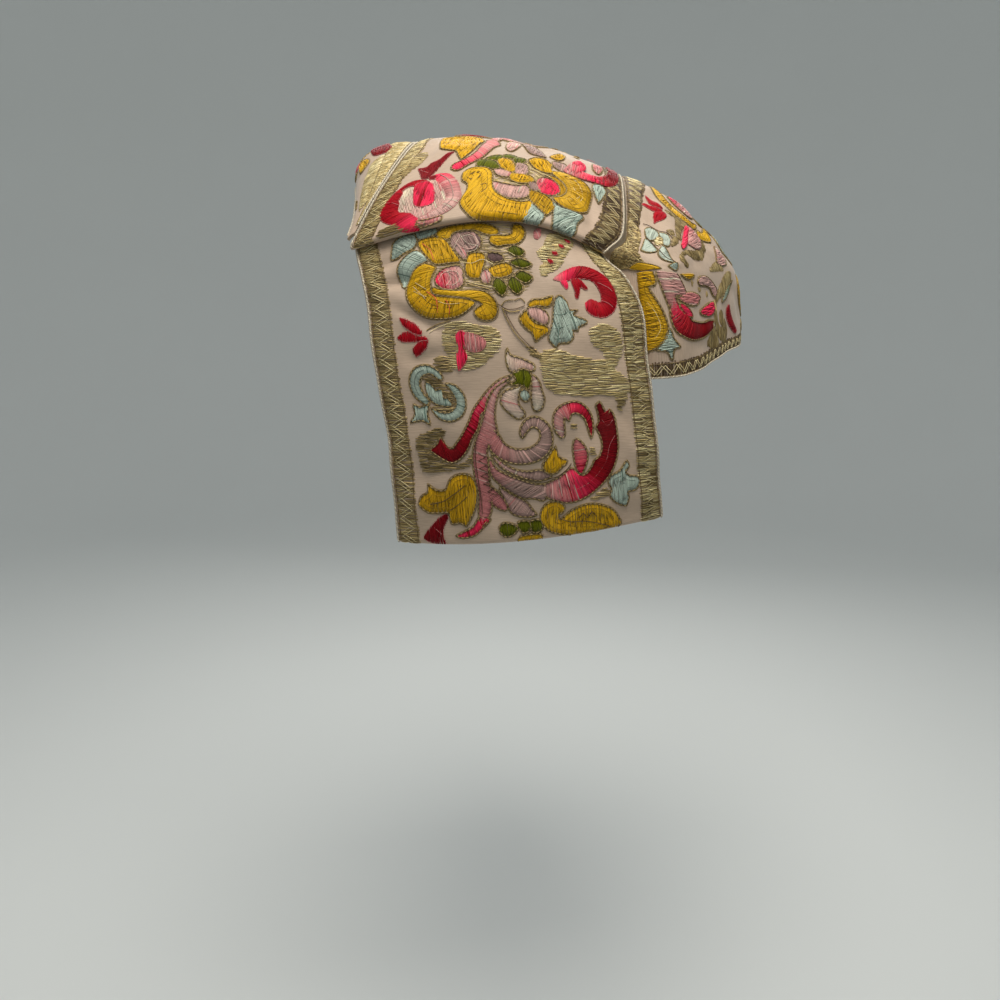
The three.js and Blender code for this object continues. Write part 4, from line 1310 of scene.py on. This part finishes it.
def ribbed_silk(name, thread_dye, shade):
    """Ribbed silk, made once: fine ribs that catch a soft light, with painted shade in their hollows, a
    little soiled with age.
    """
    if name in bpy.data.materials:
        return bpy.data.materials[name]
    material, tree = new_material(name)
    place = add_node(tree, "ShaderNodeUVMap", {"uv_map": "ribbon"}).outputs["UV"]
    # The ribs are 0.3 mm apart on the ribbon and are drawn at 0.5 mm, so that they show.
    ribs = add_node(tree, "ShaderNodeTexWave", {"wave_type": "BANDS", "bands_direction": "Y"},
                    {"Vector": place, "Scale": wave_scale(0.5), "Distortion": 1.5, "Detail": 2.0,
                     "Detail Scale": 0.4})
    # Slubs are thick stretches of single threads, about 4 mm long and 0.3 mm wide.
    stretch = add_node(tree, "ShaderNodeMapping", inputs={"Vector": place, "Scale": (25.0, 330.0, 1.0)})
    slubs = add_node(tree, "ShaderNodeTexNoise",
                     inputs={"Vector": stretch.outputs["Vector"], "Scale": 1.0, "Detail": 2.0})
    soil = add_node(tree, "ShaderNodeTexNoise", inputs={"Vector": place, "Scale": 7.0, "Detail": 4.0})
    weave = add_node(tree, "ShaderNodeMath", {"operation": "MULTIPLY_ADD"},
                     {0: ribs.outputs["Fac"], 1: 0.25, 2: slubs.outputs["Fac"]})
    # Where the weave is low the colour goes toward the shade colour: painted shade in the ribs' hollows, and
    # the slubs' own tone.
    thread = add_node(tree, "ShaderNodeMix", {"data_type": "RGBA"},
                      {"Factor": weave.outputs["Value"], "A": (*shade, 1), "B": (*thread_dye, 1)})
    worn = add_node(tree, "ShaderNodeMapRange",
                    inputs={"Value": soil.outputs["Fac"], "From Min": 0.35, "From Max": 0.75, "To Max": 0.35})
    base = add_node(tree, "ShaderNodeMix", {"data_type": "RGBA"},
                    {"Factor": worn.outputs["Result"], "A": thread.outputs["Result"], "B": (*shade, 1)})
    bump = add_node(tree, "ShaderNodeBump",
                    inputs={"Height": weave.outputs["Value"], "Strength": 0.3, "Distance": 0.0001})
    shader = add_node(tree, "ShaderNodeBsdfPrincipled",
                      inputs={"Base Color": base.outputs["Result"], "Normal": bump.outputs["Normal"],
                              "Roughness": 0.58, "Sheen Weight": 0.2, "Sheen Roughness": 0.4,
                              "Specular IOR Level": 0.35})
    finish_material(tree, shader)
    return material


def dyed_thread(name, finish):
    """A thread that takes its colour from its dye attribute, painted shade and glints included, with a finish
    of its own; made once.
    """
    if name in bpy.data.materials:
        return bpy.data.materials[name]
    material, tree = new_material(name)
    dye = add_node(tree, "ShaderNodeAttribute", {"attribute_name": "dye"})
    shader = add_node(tree, "ShaderNodeBsdfPrincipled", inputs={"Base Color": dye.outputs["Color"], **finish})
    finish_material(tree, shader)
    return material


def silk_floss():
    """Untwisted silk floss: bright dyed colour with a soft gleam along each stitch."""
    return dyed_thread("silk floss", {"Roughness": 0.5, "Specular IOR Level": 0.14})


def gilt_thread():
    """Flat gilt strip wound on a silk core: a dull old gold with points of light."""
    return dyed_thread("gilt thread", {"Metallic": 0.3, "Roughness": 0.45})


def couching_thread():
    """Fine twisted thread that outlines and lines the motifs: matt, in browns, golds and pinks."""
    return dyed_thread("couching thread", {"Roughness": 0.6, "Specular IOR Level": 0.3})


def selvedge_cotton():
    """Twisted cotton cord: soft and matt, with dark hollows between its plies, and painted shade on one ply.
    """
    return dyed_thread("selvedge cotton", {"Roughness": 0.8, "Sheen Weight": 0.2, "Specular IOR Level": 0.2})


# How dark the stage paper's fibres are.
FIBRE_SHADE = 0.97


def pale_paper(tint):
    """Matt paper of the stage: an even pale grey with no gloss."""
    material, tree = new_material("pale paper")
    place = add_node(tree, "ShaderNodeTexCoord")
    fibre = add_node(tree, "ShaderNodeTexNoise", inputs={"Vector": place.outputs["Object"], "Scale": 6.0})
    paper = add_node(tree, "ShaderNodeMix", {"data_type": "RGBA"},
                     {"Factor": fibre.outputs["Fac"], "A": (*tint, 1),
                      "B": (*[FIBRE_SHADE * channel for channel in tint], 1)})
    shader = add_node(tree, "ShaderNodeBsdfPrincipled",
                      inputs={"Base Color": paper.outputs["Result"], "Roughness": 0.95,
                              "Specular IOR Level": 0.1})
    finish_material(tree, shader)
    return material


def thread_tree():
    """Geometry nodes that sweep a round thread along each path, as thick as its fullness says."""
    tree = bpy.data.node_groups.get("thread along paths")
    if tree:
        return tree
    tree = bpy.data.node_groups.new("thread along paths", "GeometryNodeTree")
    taken = {"Paths": "Geometry", "Thread radius": "Float", "Sides": "Int", "Thread": "Material"}
    for name, kind in taken.items():
        tree.interface.new_socket(name, in_out="INPUT", socket_type="NodeSocket" + kind)
    tree.interface.new_socket("Threads", in_out="OUTPUT", socket_type="NodeSocketGeometry")
    given = add_node(tree, "NodeGroupInput").outputs
    paths = add_node(tree, "GeometryNodeMeshToCurve", inputs={"Mesh": given["Paths"]})
    fullness = add_node(tree, "GeometryNodeInputNamedAttribute", {"data_type": "FLOAT"}, {"Name": "fullness"})
    radius = add_node(tree, "ShaderNodeMath", {"operation": "MULTIPLY"},
                      {0: fullness.outputs["Attribute"], 1: given["Thread radius"]})
    profile = add_node(tree, "GeometryNodeCurvePrimitiveCircle",
                       inputs={"Resolution": given["Sides"], "Radius": 1.0})
    swept = add_node(tree, "GeometryNodeCurveToMesh",
                     inputs={"Curve": paths.outputs["Curve"], "Profile Curve": profile.outputs["Curve"],
                             "Scale": radius.outputs["Value"], "Fill Caps": True})
    smooth = add_node(tree, "GeometryNodeSetShadeSmooth", inputs={"Geometry": swept.outputs["Mesh"]})
    real = add_node(tree, "GeometryNodeRealizeInstances", inputs={"Geometry": smooth.outputs["Geometry"]})
    dressed = add_node(tree, "GeometryNodeSetMaterial",
                       inputs={"Geometry": real.outputs["Geometry"], "Material": given["Thread"]})
    add_node(tree, "NodeGroupOutput", inputs={"Threads": dressed.outputs["Geometry"]})
    return tree


def path_mesh(name, threads):
    """Loose edges along the threads, with their dye and fullness on the points."""
    points = np.concatenate(threads.points) * MM
    counts = np.array([len(part) for part in threads.points])
    stops = np.cumsum(counts)
    starts = np.delete(np.arange(len(points)), stops - 1)
    edges = np.stack([starts, starts + 1], axis=1)
    mesh = bpy.data.meshes.new(name)
    mesh.vertices.add(len(points))
    mesh.vertices.foreach_set("co", points.ravel())
    mesh.edges.add(len(edges))
    mesh.edges.foreach_set("vertices", edges.ravel())
    dyes = np.ones((len(points), 4))
    dyes[:, :3] = np.concatenate(threads.dyes)
    # The dye attribute holds each thread's colour with its painted shade and glints.
    mesh.attributes.new("dye", "FLOAT_COLOR", "POINT").data.foreach_set("color", dyes.ravel())
    fullness = np.concatenate(threads.fullness)
    mesh.attributes.new("fullness", "FLOAT", "POINT").data.foreach_set("value", fullness)
    mesh.update()
    return mesh


def spin_threads(name, threads, radius, sides, material):
    """A piece of threads swept along their paths, as one plain mesh."""
    piece = bpy.data.objects.new(name, path_mesh(name + "_paths", threads))
    bpy.context.collection.objects.link(piece)
    tree = thread_tree()
    modifier = piece.modifiers.new("thread along paths", "NODES")
    modifier.node_group = tree
    sockets = {item.name: item.identifier for item in tree.interface.items_tree if item.in_out == "INPUT"}
    modifier[sockets["Thread radius"]] = radius
    modifier[sockets["Sides"]] = sides
    modifier[sockets["Thread"]] = material
    depsgraph = bpy.context.evaluated_depsgraph_get()
    swept = bpy.data.meshes.new_from_object(piece.evaluated_get(depsgraph), depsgraph=depsgraph)
    paths = piece.data
    piece.modifiers.clear()
    piece.data = swept
    swept.name = name
    bpy.data.meshes.remove(paths)
    if not swept.polygons:
        raise RuntimeError(f"{name} has no threads")
    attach(piece, "root")
    return piece


def cloth_piece(name, ribbon, wall, right_side, reverse):
    """A closed wall of ribbon round its middle layer: right side, reverse and edges."""
    rows, columns = ribbon.middle.shape[:2]
    half = 0.5 * wall * ribbon.normals
    points = np.concatenate([(ribbon.middle + half).reshape(-1, 3), (ribbon.middle - half).reshape(-1, 3)])
    under = rows * columns
    index = np.arange(under).reshape(rows, columns)
    near, far = index[:-1], index[1:]
    right = np.stack([near[:, :-1], far[:, :-1], far[:, 1:], near[:, 1:]], axis=-1).reshape(-1, 4)
    rim = np.concatenate([index[:-1, 0], index[-1, :-1], index[:0:-1, -1], index[0, :0:-1]])
    ahead = np.roll(rim, -1)
    edge = np.stack([ahead, rim, rim + under, ahead + under], axis=-1)
    faces = np.concatenate([right, right[:, ::-1] + under, edge])
    mesh = bpy.data.meshes.new(name)
    mesh.from_pydata(points * MM, [], faces.tolist())
    mesh.materials.append(right_side)
    mesh.materials.append(reverse)
    outer = len(right)
    mesh.polygons.foreach_set("material_index", (np.arange(len(faces)) >= outer).astype(np.int32))
    mesh.polygons.foreach_set("use_smooth", np.arange(len(faces)) < 2 * outer)
    chart = np.stack(np.broadcast_arrays(ribbon.u[None, :], ribbon.v[:, None]), axis=-1).reshape(-1, 2)
    corners = np.empty(len(mesh.loops), dtype=np.int32)
    mesh.loops.foreach_get("vertex_index", corners)
    layer = mesh.uv_layers.new(name="ribbon")
    layer.data.foreach_set("uv", (np.tile(chart, (2, 1))[corners] * UV_PER_MM).ravel())
    mesh.update()
    piece = bpy.data.objects.new(name, mesh)
    bpy.context.collection.objects.link(piece)
    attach(piece, "root")
    return piece


# Settings.

def size_setting(name, description, millimetres):
    """A size shown in the scene's units and given here in mm."""
    return FloatProperty(name=name, description=description, default=millimetres * MM, min=0.0,
                         precision=5, subtype="DISTANCE", unit="LENGTH")


def dye_setting(name, description, hex_colour):
    """A colour given as sRGB hex."""
    return FloatVectorProperty(name=name, description=description, default=linear(hex_colour), size=3,
                               min=0.0, max=1.0, subtype="COLOR")


class CapSizes(bpy.types.PropertyGroup):
    """Sizes of the cap's cloth and threads"""

    wall: size_setting("Ribbon thickness", "Thickness of the ribbon with its backing", 1.0)
    pucker_depth: size_setting("Pucker depth", "Depth of the dents that stitching draws into the ribbon", 0.8)
    silk_pitch: size_setting("Floss pitch", "Distance between rows of floss", 0.39)
    silk_radius: size_setting("Floss radius", "Half the thickness of a floss stitch", 0.24)
    gold_pitch: size_setting("Gold pitch", "Distance between rows of gold thread", 0.44)
    gold_radius: size_setting("Gold radius", "Half the thickness of a gold thread", 0.27)
    longest_stitch: size_setting("Longest stitch", "Longest run of floss on the right side", 7.0)
    longest_gold: size_setting("Longest gold", "Longest run of gold thread on the right side", 4.0)
    couching_radius: size_setting("Couching radius", "Half the thickness of an outline thread", 0.19)
    ply_radius: size_setting("Ply radius", "Half the thickness of one ply of the selvedge cord", 0.23)
    thread_sides: IntProperty(name="Thread sides", description="Sides of a swept thread", default=4, min=3)


class CapDyes(bpy.types.PropertyGroup):
    """Colours of the cap's silks, gold and stage"""

    ground: dye_setting("Ground", "Ribbed silk ground", "#C8B09A")
    # The ground's and the reverse's second colours are painted shade in the ribs' hollows, and soil.
    ground_shade: dye_setting("Ground shade", "Hollows and soil of the ground", "#9C8976")
    reverse: dye_setting("Reverse", "Plain reverse of the ribbon", "#C6B49C")
    reverse_shade: dye_setting("Reverse shade", "Hollows of the reverse", "#9E8A70")
    crimson: dye_setting("Crimson", "Crimson floss", "#AA0A1C")
    wine: dye_setting("Wine", "Dark red floss", "#7E0812")
    rose: dye_setting("Rose", "Rose floss", "#EC3058")
    pink: dye_setting("Pink", "Pink floss", "#CE8482")
    blush: dye_setting("Blush", "Palest pink floss", "#D5ACA2")
    mauve: dye_setting("Mauve", "Greyed pink floss", "#A98C82")
    dusk: dye_setting("Dusk", "Dark greyed mauve floss", "#6E5654")
    mustard: dye_setting("Mustard", "Mustard yellow floss", "#D9AA1F")
    ochre: dye_setting("Ochre", "Darker yellow floss", "#B48A18")
    olive: dye_setting("Olive", "Olive green floss", "#64680C")
    moss: dye_setting("Moss", "Dark green floss", "#484C08")
    aqua: dye_setting("Aqua", "Pale blue-green floss", "#B2C1B3")
    mist: dye_setting("Mist", "Palest blue-green floss", "#B2BCAE")
    slate: dye_setting("Slate", "Darker blue-green floss", "#748A7E")
    gold: dye_setting("Gold", "Dull gold thread", "#B49C68")
    brass: dye_setting("Brass", "Paler gold thread", "#D0BA82")
    gilt: dye_setting("Gilt", "Brightest gold thread", "#EEDDA8")
    bronze: dye_setting("Bronze", "Tarnished gold thread", "#8C774A")
    cream: dye_setting("Cream", "Selvedge cotton, pale floss and pale lines", "#E2D6BE")
    umber: dye_setting("Umber", "Outline thread", "#5C4832")
    stage: dye_setting("Stage", "Floor and backdrop", "#D8DCDB")


def read_palette(dyes):
    """Each dye as linear red, green and blue."""
    return {name: np.array(getattr(dyes, name)) for name in CapDyes.__annotations__}


# Pieces.

# Each strip and each set of cords draws its own random numbers, by its place in this list.
SEED = 42
DRAWN = ("crown", "left_flap", "right_flap", "back_slope", "back_wall", "front",
         "crown_selvedges", "back_selvedges", "front_selvedges")
# Gold, outline and selvedge threads are swept with three sides, and floss with as many as its setting says.
FINE_SIDES = 3


def numbers_for(name):
    """The random numbers of one strip or set of cords."""
    return np.random.default_rng(SEED + DRAWN.index(name))


def chart_limits(low_u, low_v, high_u, high_v):
    """The low and high corners of a strip's charted part, in mm."""
    return np.array([low_u, low_v]), np.array([high_u, high_v])


def embroider_strip(context, name, strips, chart):
    """The silk, gold and couching pieces of one strip, named for it."""
    scene = context.scene
    sizes = scene.cap_sizes
    palette = read_palette(scene.cap_dyes)
    rng = numbers_for(name)
    limits = CHART_LIMITS[name]
    work = embroider(strips[name], chart, palette, sizes, limits, rng)
    for border in BORDERS[name]:
        weave_border(work, strips[name], border, palette, sizes, limits, rng)
    spin_threads(name + "_silk", work["silk"], sizes.silk_radius, sizes.thread_sides, silk_floss())
    spin_threads(name + "_gold", work["gold"], sizes.gold_radius, FINE_SIDES, gilt_thread())
    spin_threads(name + "_couching", work["line"], sizes.couching_radius, FINE_SIDES, couching_thread())


def edge_with_cords(context, name, strips, runs):
    """The selvedge cords of one ribbon; a run is a strip's name, its u, and its first and last v."""
    scene = context.scene
    sizes = scene.cap_sizes
    dye = read_palette(scene.cap_dyes)["cream"]
    rng = numbers_for(name)
    threads = Threads()
    for strip, u, low, high in runs:
        twist_cord(threads, strips[strip], u, low, high, dye, rng)
    spin_threads(name, threads, sizes.ply_radius, FINE_SIDES, selvedge_cotton())


def ribbon_cloth(context, name, node, ribbon):
    """The cloth of one ribbon, which takes the place of its CAD part; that part is hidden."""
    scene = context.scene
    dyes = read_palette(scene.cap_dyes)
    right_side = ribbed_silk("ribbed silk", dyes["ground"], dyes["ground_shade"])
    reverse = ribbed_silk("ribbon reverse", dyes["reverse"], dyes["reverse_shade"])
    piece = cloth_piece(name, ribbon, scene.cap_sizes.wall / MM, right_side, reverse)
    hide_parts(node)


# The charted part of each strip. The crown's goes round the edge of its folds, and a flap's ends at its hem.
FOLD_EDGE = 70.4
FLAP_TOP = 0.2
FLAP_FOOT = 103.4
FLAP_LIMITS = chart_limits(1.2, FLAP_TOP, 80.8, FLAP_FOOT)
CHART_LIMITS = {
    "crown": chart_limits(1.2, -FOLD_EDGE, 80.8, FOLD_EDGE),
    "left_flap": FLAP_LIMITS,
    "right_flap": FLAP_LIMITS,
    "back_slope": chart_limits(0.6, -71, 52.6, 71),
    "back_wall": chart_limits(0.6, -79, 28.6, 79),
    "front": chart_limits(0.8, -61, 29.2, 61),
}
# The gold borders of each strip, from inner to outer u.
FORE_BORDER = Border(1.4, 7.0, "mid", 2.7, "gilt")
FLAP_BORDERS = [FORE_BORDER, Border(75.2, 80.7, "mixed", 2.7, "gilt")]
BORDERS = {
    "crown": [FORE_BORDER, Border(75.2, 80.7, "deep", 2.7, "gilt")],
    "left_flap": FLAP_BORDERS,
    "right_flap": FLAP_BORDERS,
    "back_slope": [Border(0.7, 7, "deep", 2.7, "gilt")],
    "back_wall": [Border(25.2, 28.4, "deep", 2.2, "gilt")],
    "front": [Border(22, 28.8, "light", 2.7, "brass")],
}
# The selvedge cords of each ribbon: strip, u, and first and last v. Each is sewn just inside its edge.
CROWN_CORD_RUNS = (("crown", -69.5, 69.5), ("left_flap", 0.5, FLAP_FOOT), ("right_flap", 0.5, FLAP_FOOT))
CORDS = {
    "crown_selvedges": [(strip, u, low, high) for u in (0.5, RIBBON_WIDTH - 0.5)
                        for strip, low, high in CROWN_CORD_RUNS],
    "back_selvedges": [("back_wall", WALL_WIDTH - 0.3, -79, 79)],
    "front_selvedges": [("front", 0.3, -62, 62), ("front", FRONT_WIDTH - 0.4, -61, 61)],
}


class CAP_OT_embroider_crown(bpy.types.Operator):
    """Embroider the crown between its folds"""
    bl_idname = "cap.embroider_crown"
    bl_label = "Embroider crown"

    def execute(self, context):
        _, strips = lay_crown_ribbon(context.scene.cap_sizes)
        embroider_strip(context, "crown", strips, crown_chart())
        return {"FINISHED"}


class CAP_OT_embroider_flaps(bpy.types.Operator):
    """Embroider the two hanging flaps"""
    bl_idname = "cap.embroider_flaps"
    bl_label = "Embroider flaps"

    def execute(self, context):
        _, strips = lay_crown_ribbon(context.scene.cap_sizes)
        upside_down = [shifted(motif, v=RIGHT_FLAP_START, turn=-1) for motif in FLAP_CHART]
        embroider_strip(context, "left_flap", strips, FLAP_CHART)
        embroider_strip(context, "right_flap", strips, upside_down)
        return {"FINISHED"}


class CAP_OT_embroider_back(bpy.types.Operator):
    """Embroider the back band above and below its crease"""
    bl_idname = "cap.embroider_back"
    bl_label = "Embroider back band"

    def execute(self, context):
        _, strips = lay_back_band(context.scene.cap_sizes)
        embroider_strip(context, "back_slope", strips, both_sides(SLOPE_CHART))
        embroider_strip(context, "back_wall", strips, both_sides(WALL_CHART))
        return {"FINISHED"}


class CAP_OT_embroider_front(bpy.types.Operator):
    """Embroider the front band"""
    bl_idname = "cap.embroider_front"
    bl_label = "Embroider front band"

    def execute(self, context):
        _, strips = lay_front_band(context.scene.cap_sizes)
        embroider_strip(context, "front", strips, both_sides(FRONT_CHART))
        return {"FINISHED"}


class CAP_OT_edge_ribbons(bpy.types.Operator):
    """Sew the cream selvedge cords along the ribbons' edges"""
    bl_idname = "cap.edge_ribbons"
    bl_label = "Edge ribbons"

    def execute(self, context):
        strips = {}
        for lay in (lay_crown_ribbon, lay_back_band, lay_front_band):
            strips.update(lay(context.scene.cap_sizes)[1])
        for name, runs in CORDS.items():
            edge_with_cords(context, name, strips, runs)
        return {"FINISHED"}


class CAP_OT_lay_crown(bpy.types.Operator):
    """Lay the crown ribbon from side to side, with its tucks, flaps and hems"""
    bl_idname = "cap.lay_crown"
    bl_label = "Lay crown ribbon"

    def execute(self, context):
        ribbon, _ = lay_crown_ribbon(context.scene.cap_sizes)
        ribbon_cloth(context, "crown_ribbon_cloth", "crown_ribbon", ribbon)
        return {"FINISHED"}


class CAP_OT_lay_back(bpy.types.Operator):
    """Hang the back band from the crown's back selvedge"""
    bl_idname = "cap.lay_back"
    bl_label = "Lay back band"

    def execute(self, context):
        ribbon, _ = lay_back_band(context.scene.cap_sizes)
        ribbon_cloth(context, "back_band_cloth", "back_band", ribbon)
        return {"FINISHED"}


class CAP_OT_lay_front(bpy.types.Operator):
    """Hang the front band from the crown's front selvedge"""
    bl_idname = "cap.lay_front"
    bl_label = "Lay front band"

    def execute(self, context):
        ribbon, _ = lay_front_band(context.scene.cap_sizes)
        ribbon_cloth(context, "front_band_cloth", "front_band", ribbon)
        return {"FINISHED"}


# The stage is a shallow bowl round the cap: a flat floor, a curve and a wall, in m.
FLOOR_LEVEL = -0.36
HUB_RADIUS = 0.02
FLOOR_RADIUS = 0.8
CURVE_RADIUS = 0.5
CURVE_POINTS = 13
WALL_HEIGHT = 1.3
STAGE_SEGMENTS = 72
SKY_COLOUR = "#E9EDF0"
SKY_STRENGTH = 0.45
# The camera's place in m, its turn and tilt down in degrees, and its lens in mm.
CAMERA_PLACE = (0.3815, 0.0308, -0.0326)
CAMERA_AZIMUTH = 93.0
CAMERA_PITCH = 14.9
CAMERA_LENS = 36.0
CAMERA_SENSOR = 36.0
CAMERA_CLIP = 0.01
# Each light's name, place, size in m, power in W and colour.
LIGHTS = [
    ("overhead softbox", (0.16, 0.06, 0.42), 0.32, 2.9, "#FFF9F0"),
    ("camera side softbox", (0.4, -0.15, 0.4), 0.35, 0.35, "#FFFBF6"),
    ("far side softbox", (-0.44, 0.04, 0.16), 0.4, 1.3, "#FFFBF6"),
]


def stage_mesh():
    """A floor that curves up into a wall all round the cap."""
    turn = np.linspace(0, 0.5 * math.pi, CURVE_POINTS)
    radius = np.concatenate([[HUB_RADIUS], FLOOR_RADIUS + CURVE_RADIUS * np.sin(turn)])
    height = np.concatenate([[0.0], CURVE_RADIUS * (1 - np.cos(turn))])
    radius = np.append(radius, radius[-1])
    height = np.append(height, WALL_HEIGHT)
    angle = np.linspace(0, 2 * math.pi, STAGE_SEGMENTS, endpoint=False)
    points = np.stack([np.outer(radius, np.cos(angle)), np.outer(radius, np.sin(angle)),
                       np.outer(FLOOR_LEVEL + height, np.ones(STAGE_SEGMENTS))], axis=-1)
    index = np.arange(len(radius) * STAGE_SEGMENTS).reshape(len(radius), STAGE_SEGMENTS)
    ahead = np.roll(index, -1, axis=1)
    faces = np.stack([index[:-1], index[1:], ahead[1:], ahead[:-1]], axis=-1).reshape(-1, 4).tolist()
    faces.append(index[0].tolist())
    mesh = bpy.data.meshes.new("backdrop")
    mesh.from_pydata(points.reshape(-1, 3), [], faces)
    mesh.polygons.foreach_set("use_smooth", [True] * len(faces))
    mesh.update()
    return mesh


class CAP_OT_set_stage(bpy.types.Operator):
    """Set the pale stage, the soft lights and the camera"""
    bl_idname = "cap.set_stage"
    bl_label = "Set stage"

    def execute(self, context):
        scene = context.scene
        backdrop = bpy.data.objects.new("backdrop", stage_mesh())
        backdrop.data.materials.append(pale_paper(tuple(scene.cap_dyes.stage)))
        context.collection.objects.link(backdrop)
        for name, place, size, power, hex_colour in LIGHTS:
            lamp = bpy.data.lights.new(name, "AREA")
            lamp.size = size
            lamp.energy = power
            lamp.color = linear(hex_colour)
            light = bpy.data.objects.new(name, lamp)
            light.location = place
            light.rotation_euler = (-Vector(place)).to_track_quat("-Z", "Y").to_euler()
            light.visible_camera = False
            context.collection.objects.link(light)
        world = bpy.data.worlds.new("studio")
        world.use_nodes = True
        sky = world.node_tree.nodes["Background"]
        sky.inputs["Color"].default_value = (*linear(SKY_COLOUR), 1)
        sky.inputs["Strength"].default_value = SKY_STRENGTH
        scene.world = world
        scene.view_settings.view_transform = "Standard"
        lens = bpy.data.cameras.new("camera")
        lens.sensor_width = CAMERA_SENSOR
        lens.lens = CAMERA_LENS
        lens.clip_start = CAMERA_CLIP
        camera = bpy.data.objects.new("camera", lens)
        turn = Matrix.Rotation(math.radians(CAMERA_AZIMUTH), 4, "Z")
        tilt = Matrix.Rotation(math.radians(90 - CAMERA_PITCH), 4, "X")
        camera.matrix_world = Matrix.Translation(CAMERA_PLACE) @ turn @ tilt
        context.collection.objects.link(camera)
        scene.camera = camera
        return {"FINISHED"}


OPERATORS = (
    CAP_OT_embroider_crown, CAP_OT_embroider_flaps, CAP_OT_embroider_back, CAP_OT_embroider_front,
    CAP_OT_edge_ribbons, CAP_OT_lay_crown, CAP_OT_lay_back, CAP_OT_lay_front, CAP_OT_set_stage,
)


class CAP_PT_panel(bpy.types.Panel):
    """The cap's sizes, dyes and making steps"""
    bl_label = "Brocade ribbon cap"
    bl_space_type = "VIEW_3D"
    bl_region_type = "UI"
    bl_category = "Cap"

    def draw(self, context):
        layout = self.layout
        for group in (context.scene.cap_sizes, context.scene.cap_dyes):
            column = layout.column(align=True)
            for name in group.__annotations__:
                column.prop(group, name)
        for operator in OPERATORS:
            layout.operator(operator.bl_idname)


CLASSES = (CapSizes, CapDyes, *OPERATORS, CAP_PT_panel)


def register():
    for cls in CLASSES:
        bpy.utils.register_class(cls)
    bpy.types.Scene.cap_sizes = PointerProperty(type=CapSizes)
    bpy.types.Scene.cap_dyes = PointerProperty(type=CapDyes)


def unregister():
    del bpy.types.Scene.cap_dyes
    del bpy.types.Scene.cap_sizes
    for cls in reversed(CLASSES):
        bpy.utils.unregister_class(cls)


def main():
    register()
    for operator in OPERATORS:
        group, name = operator.bl_idname.split(".")
        getattr(getattr(bpy.ops, group), name)()


if __name__ == "__main__":
    main()
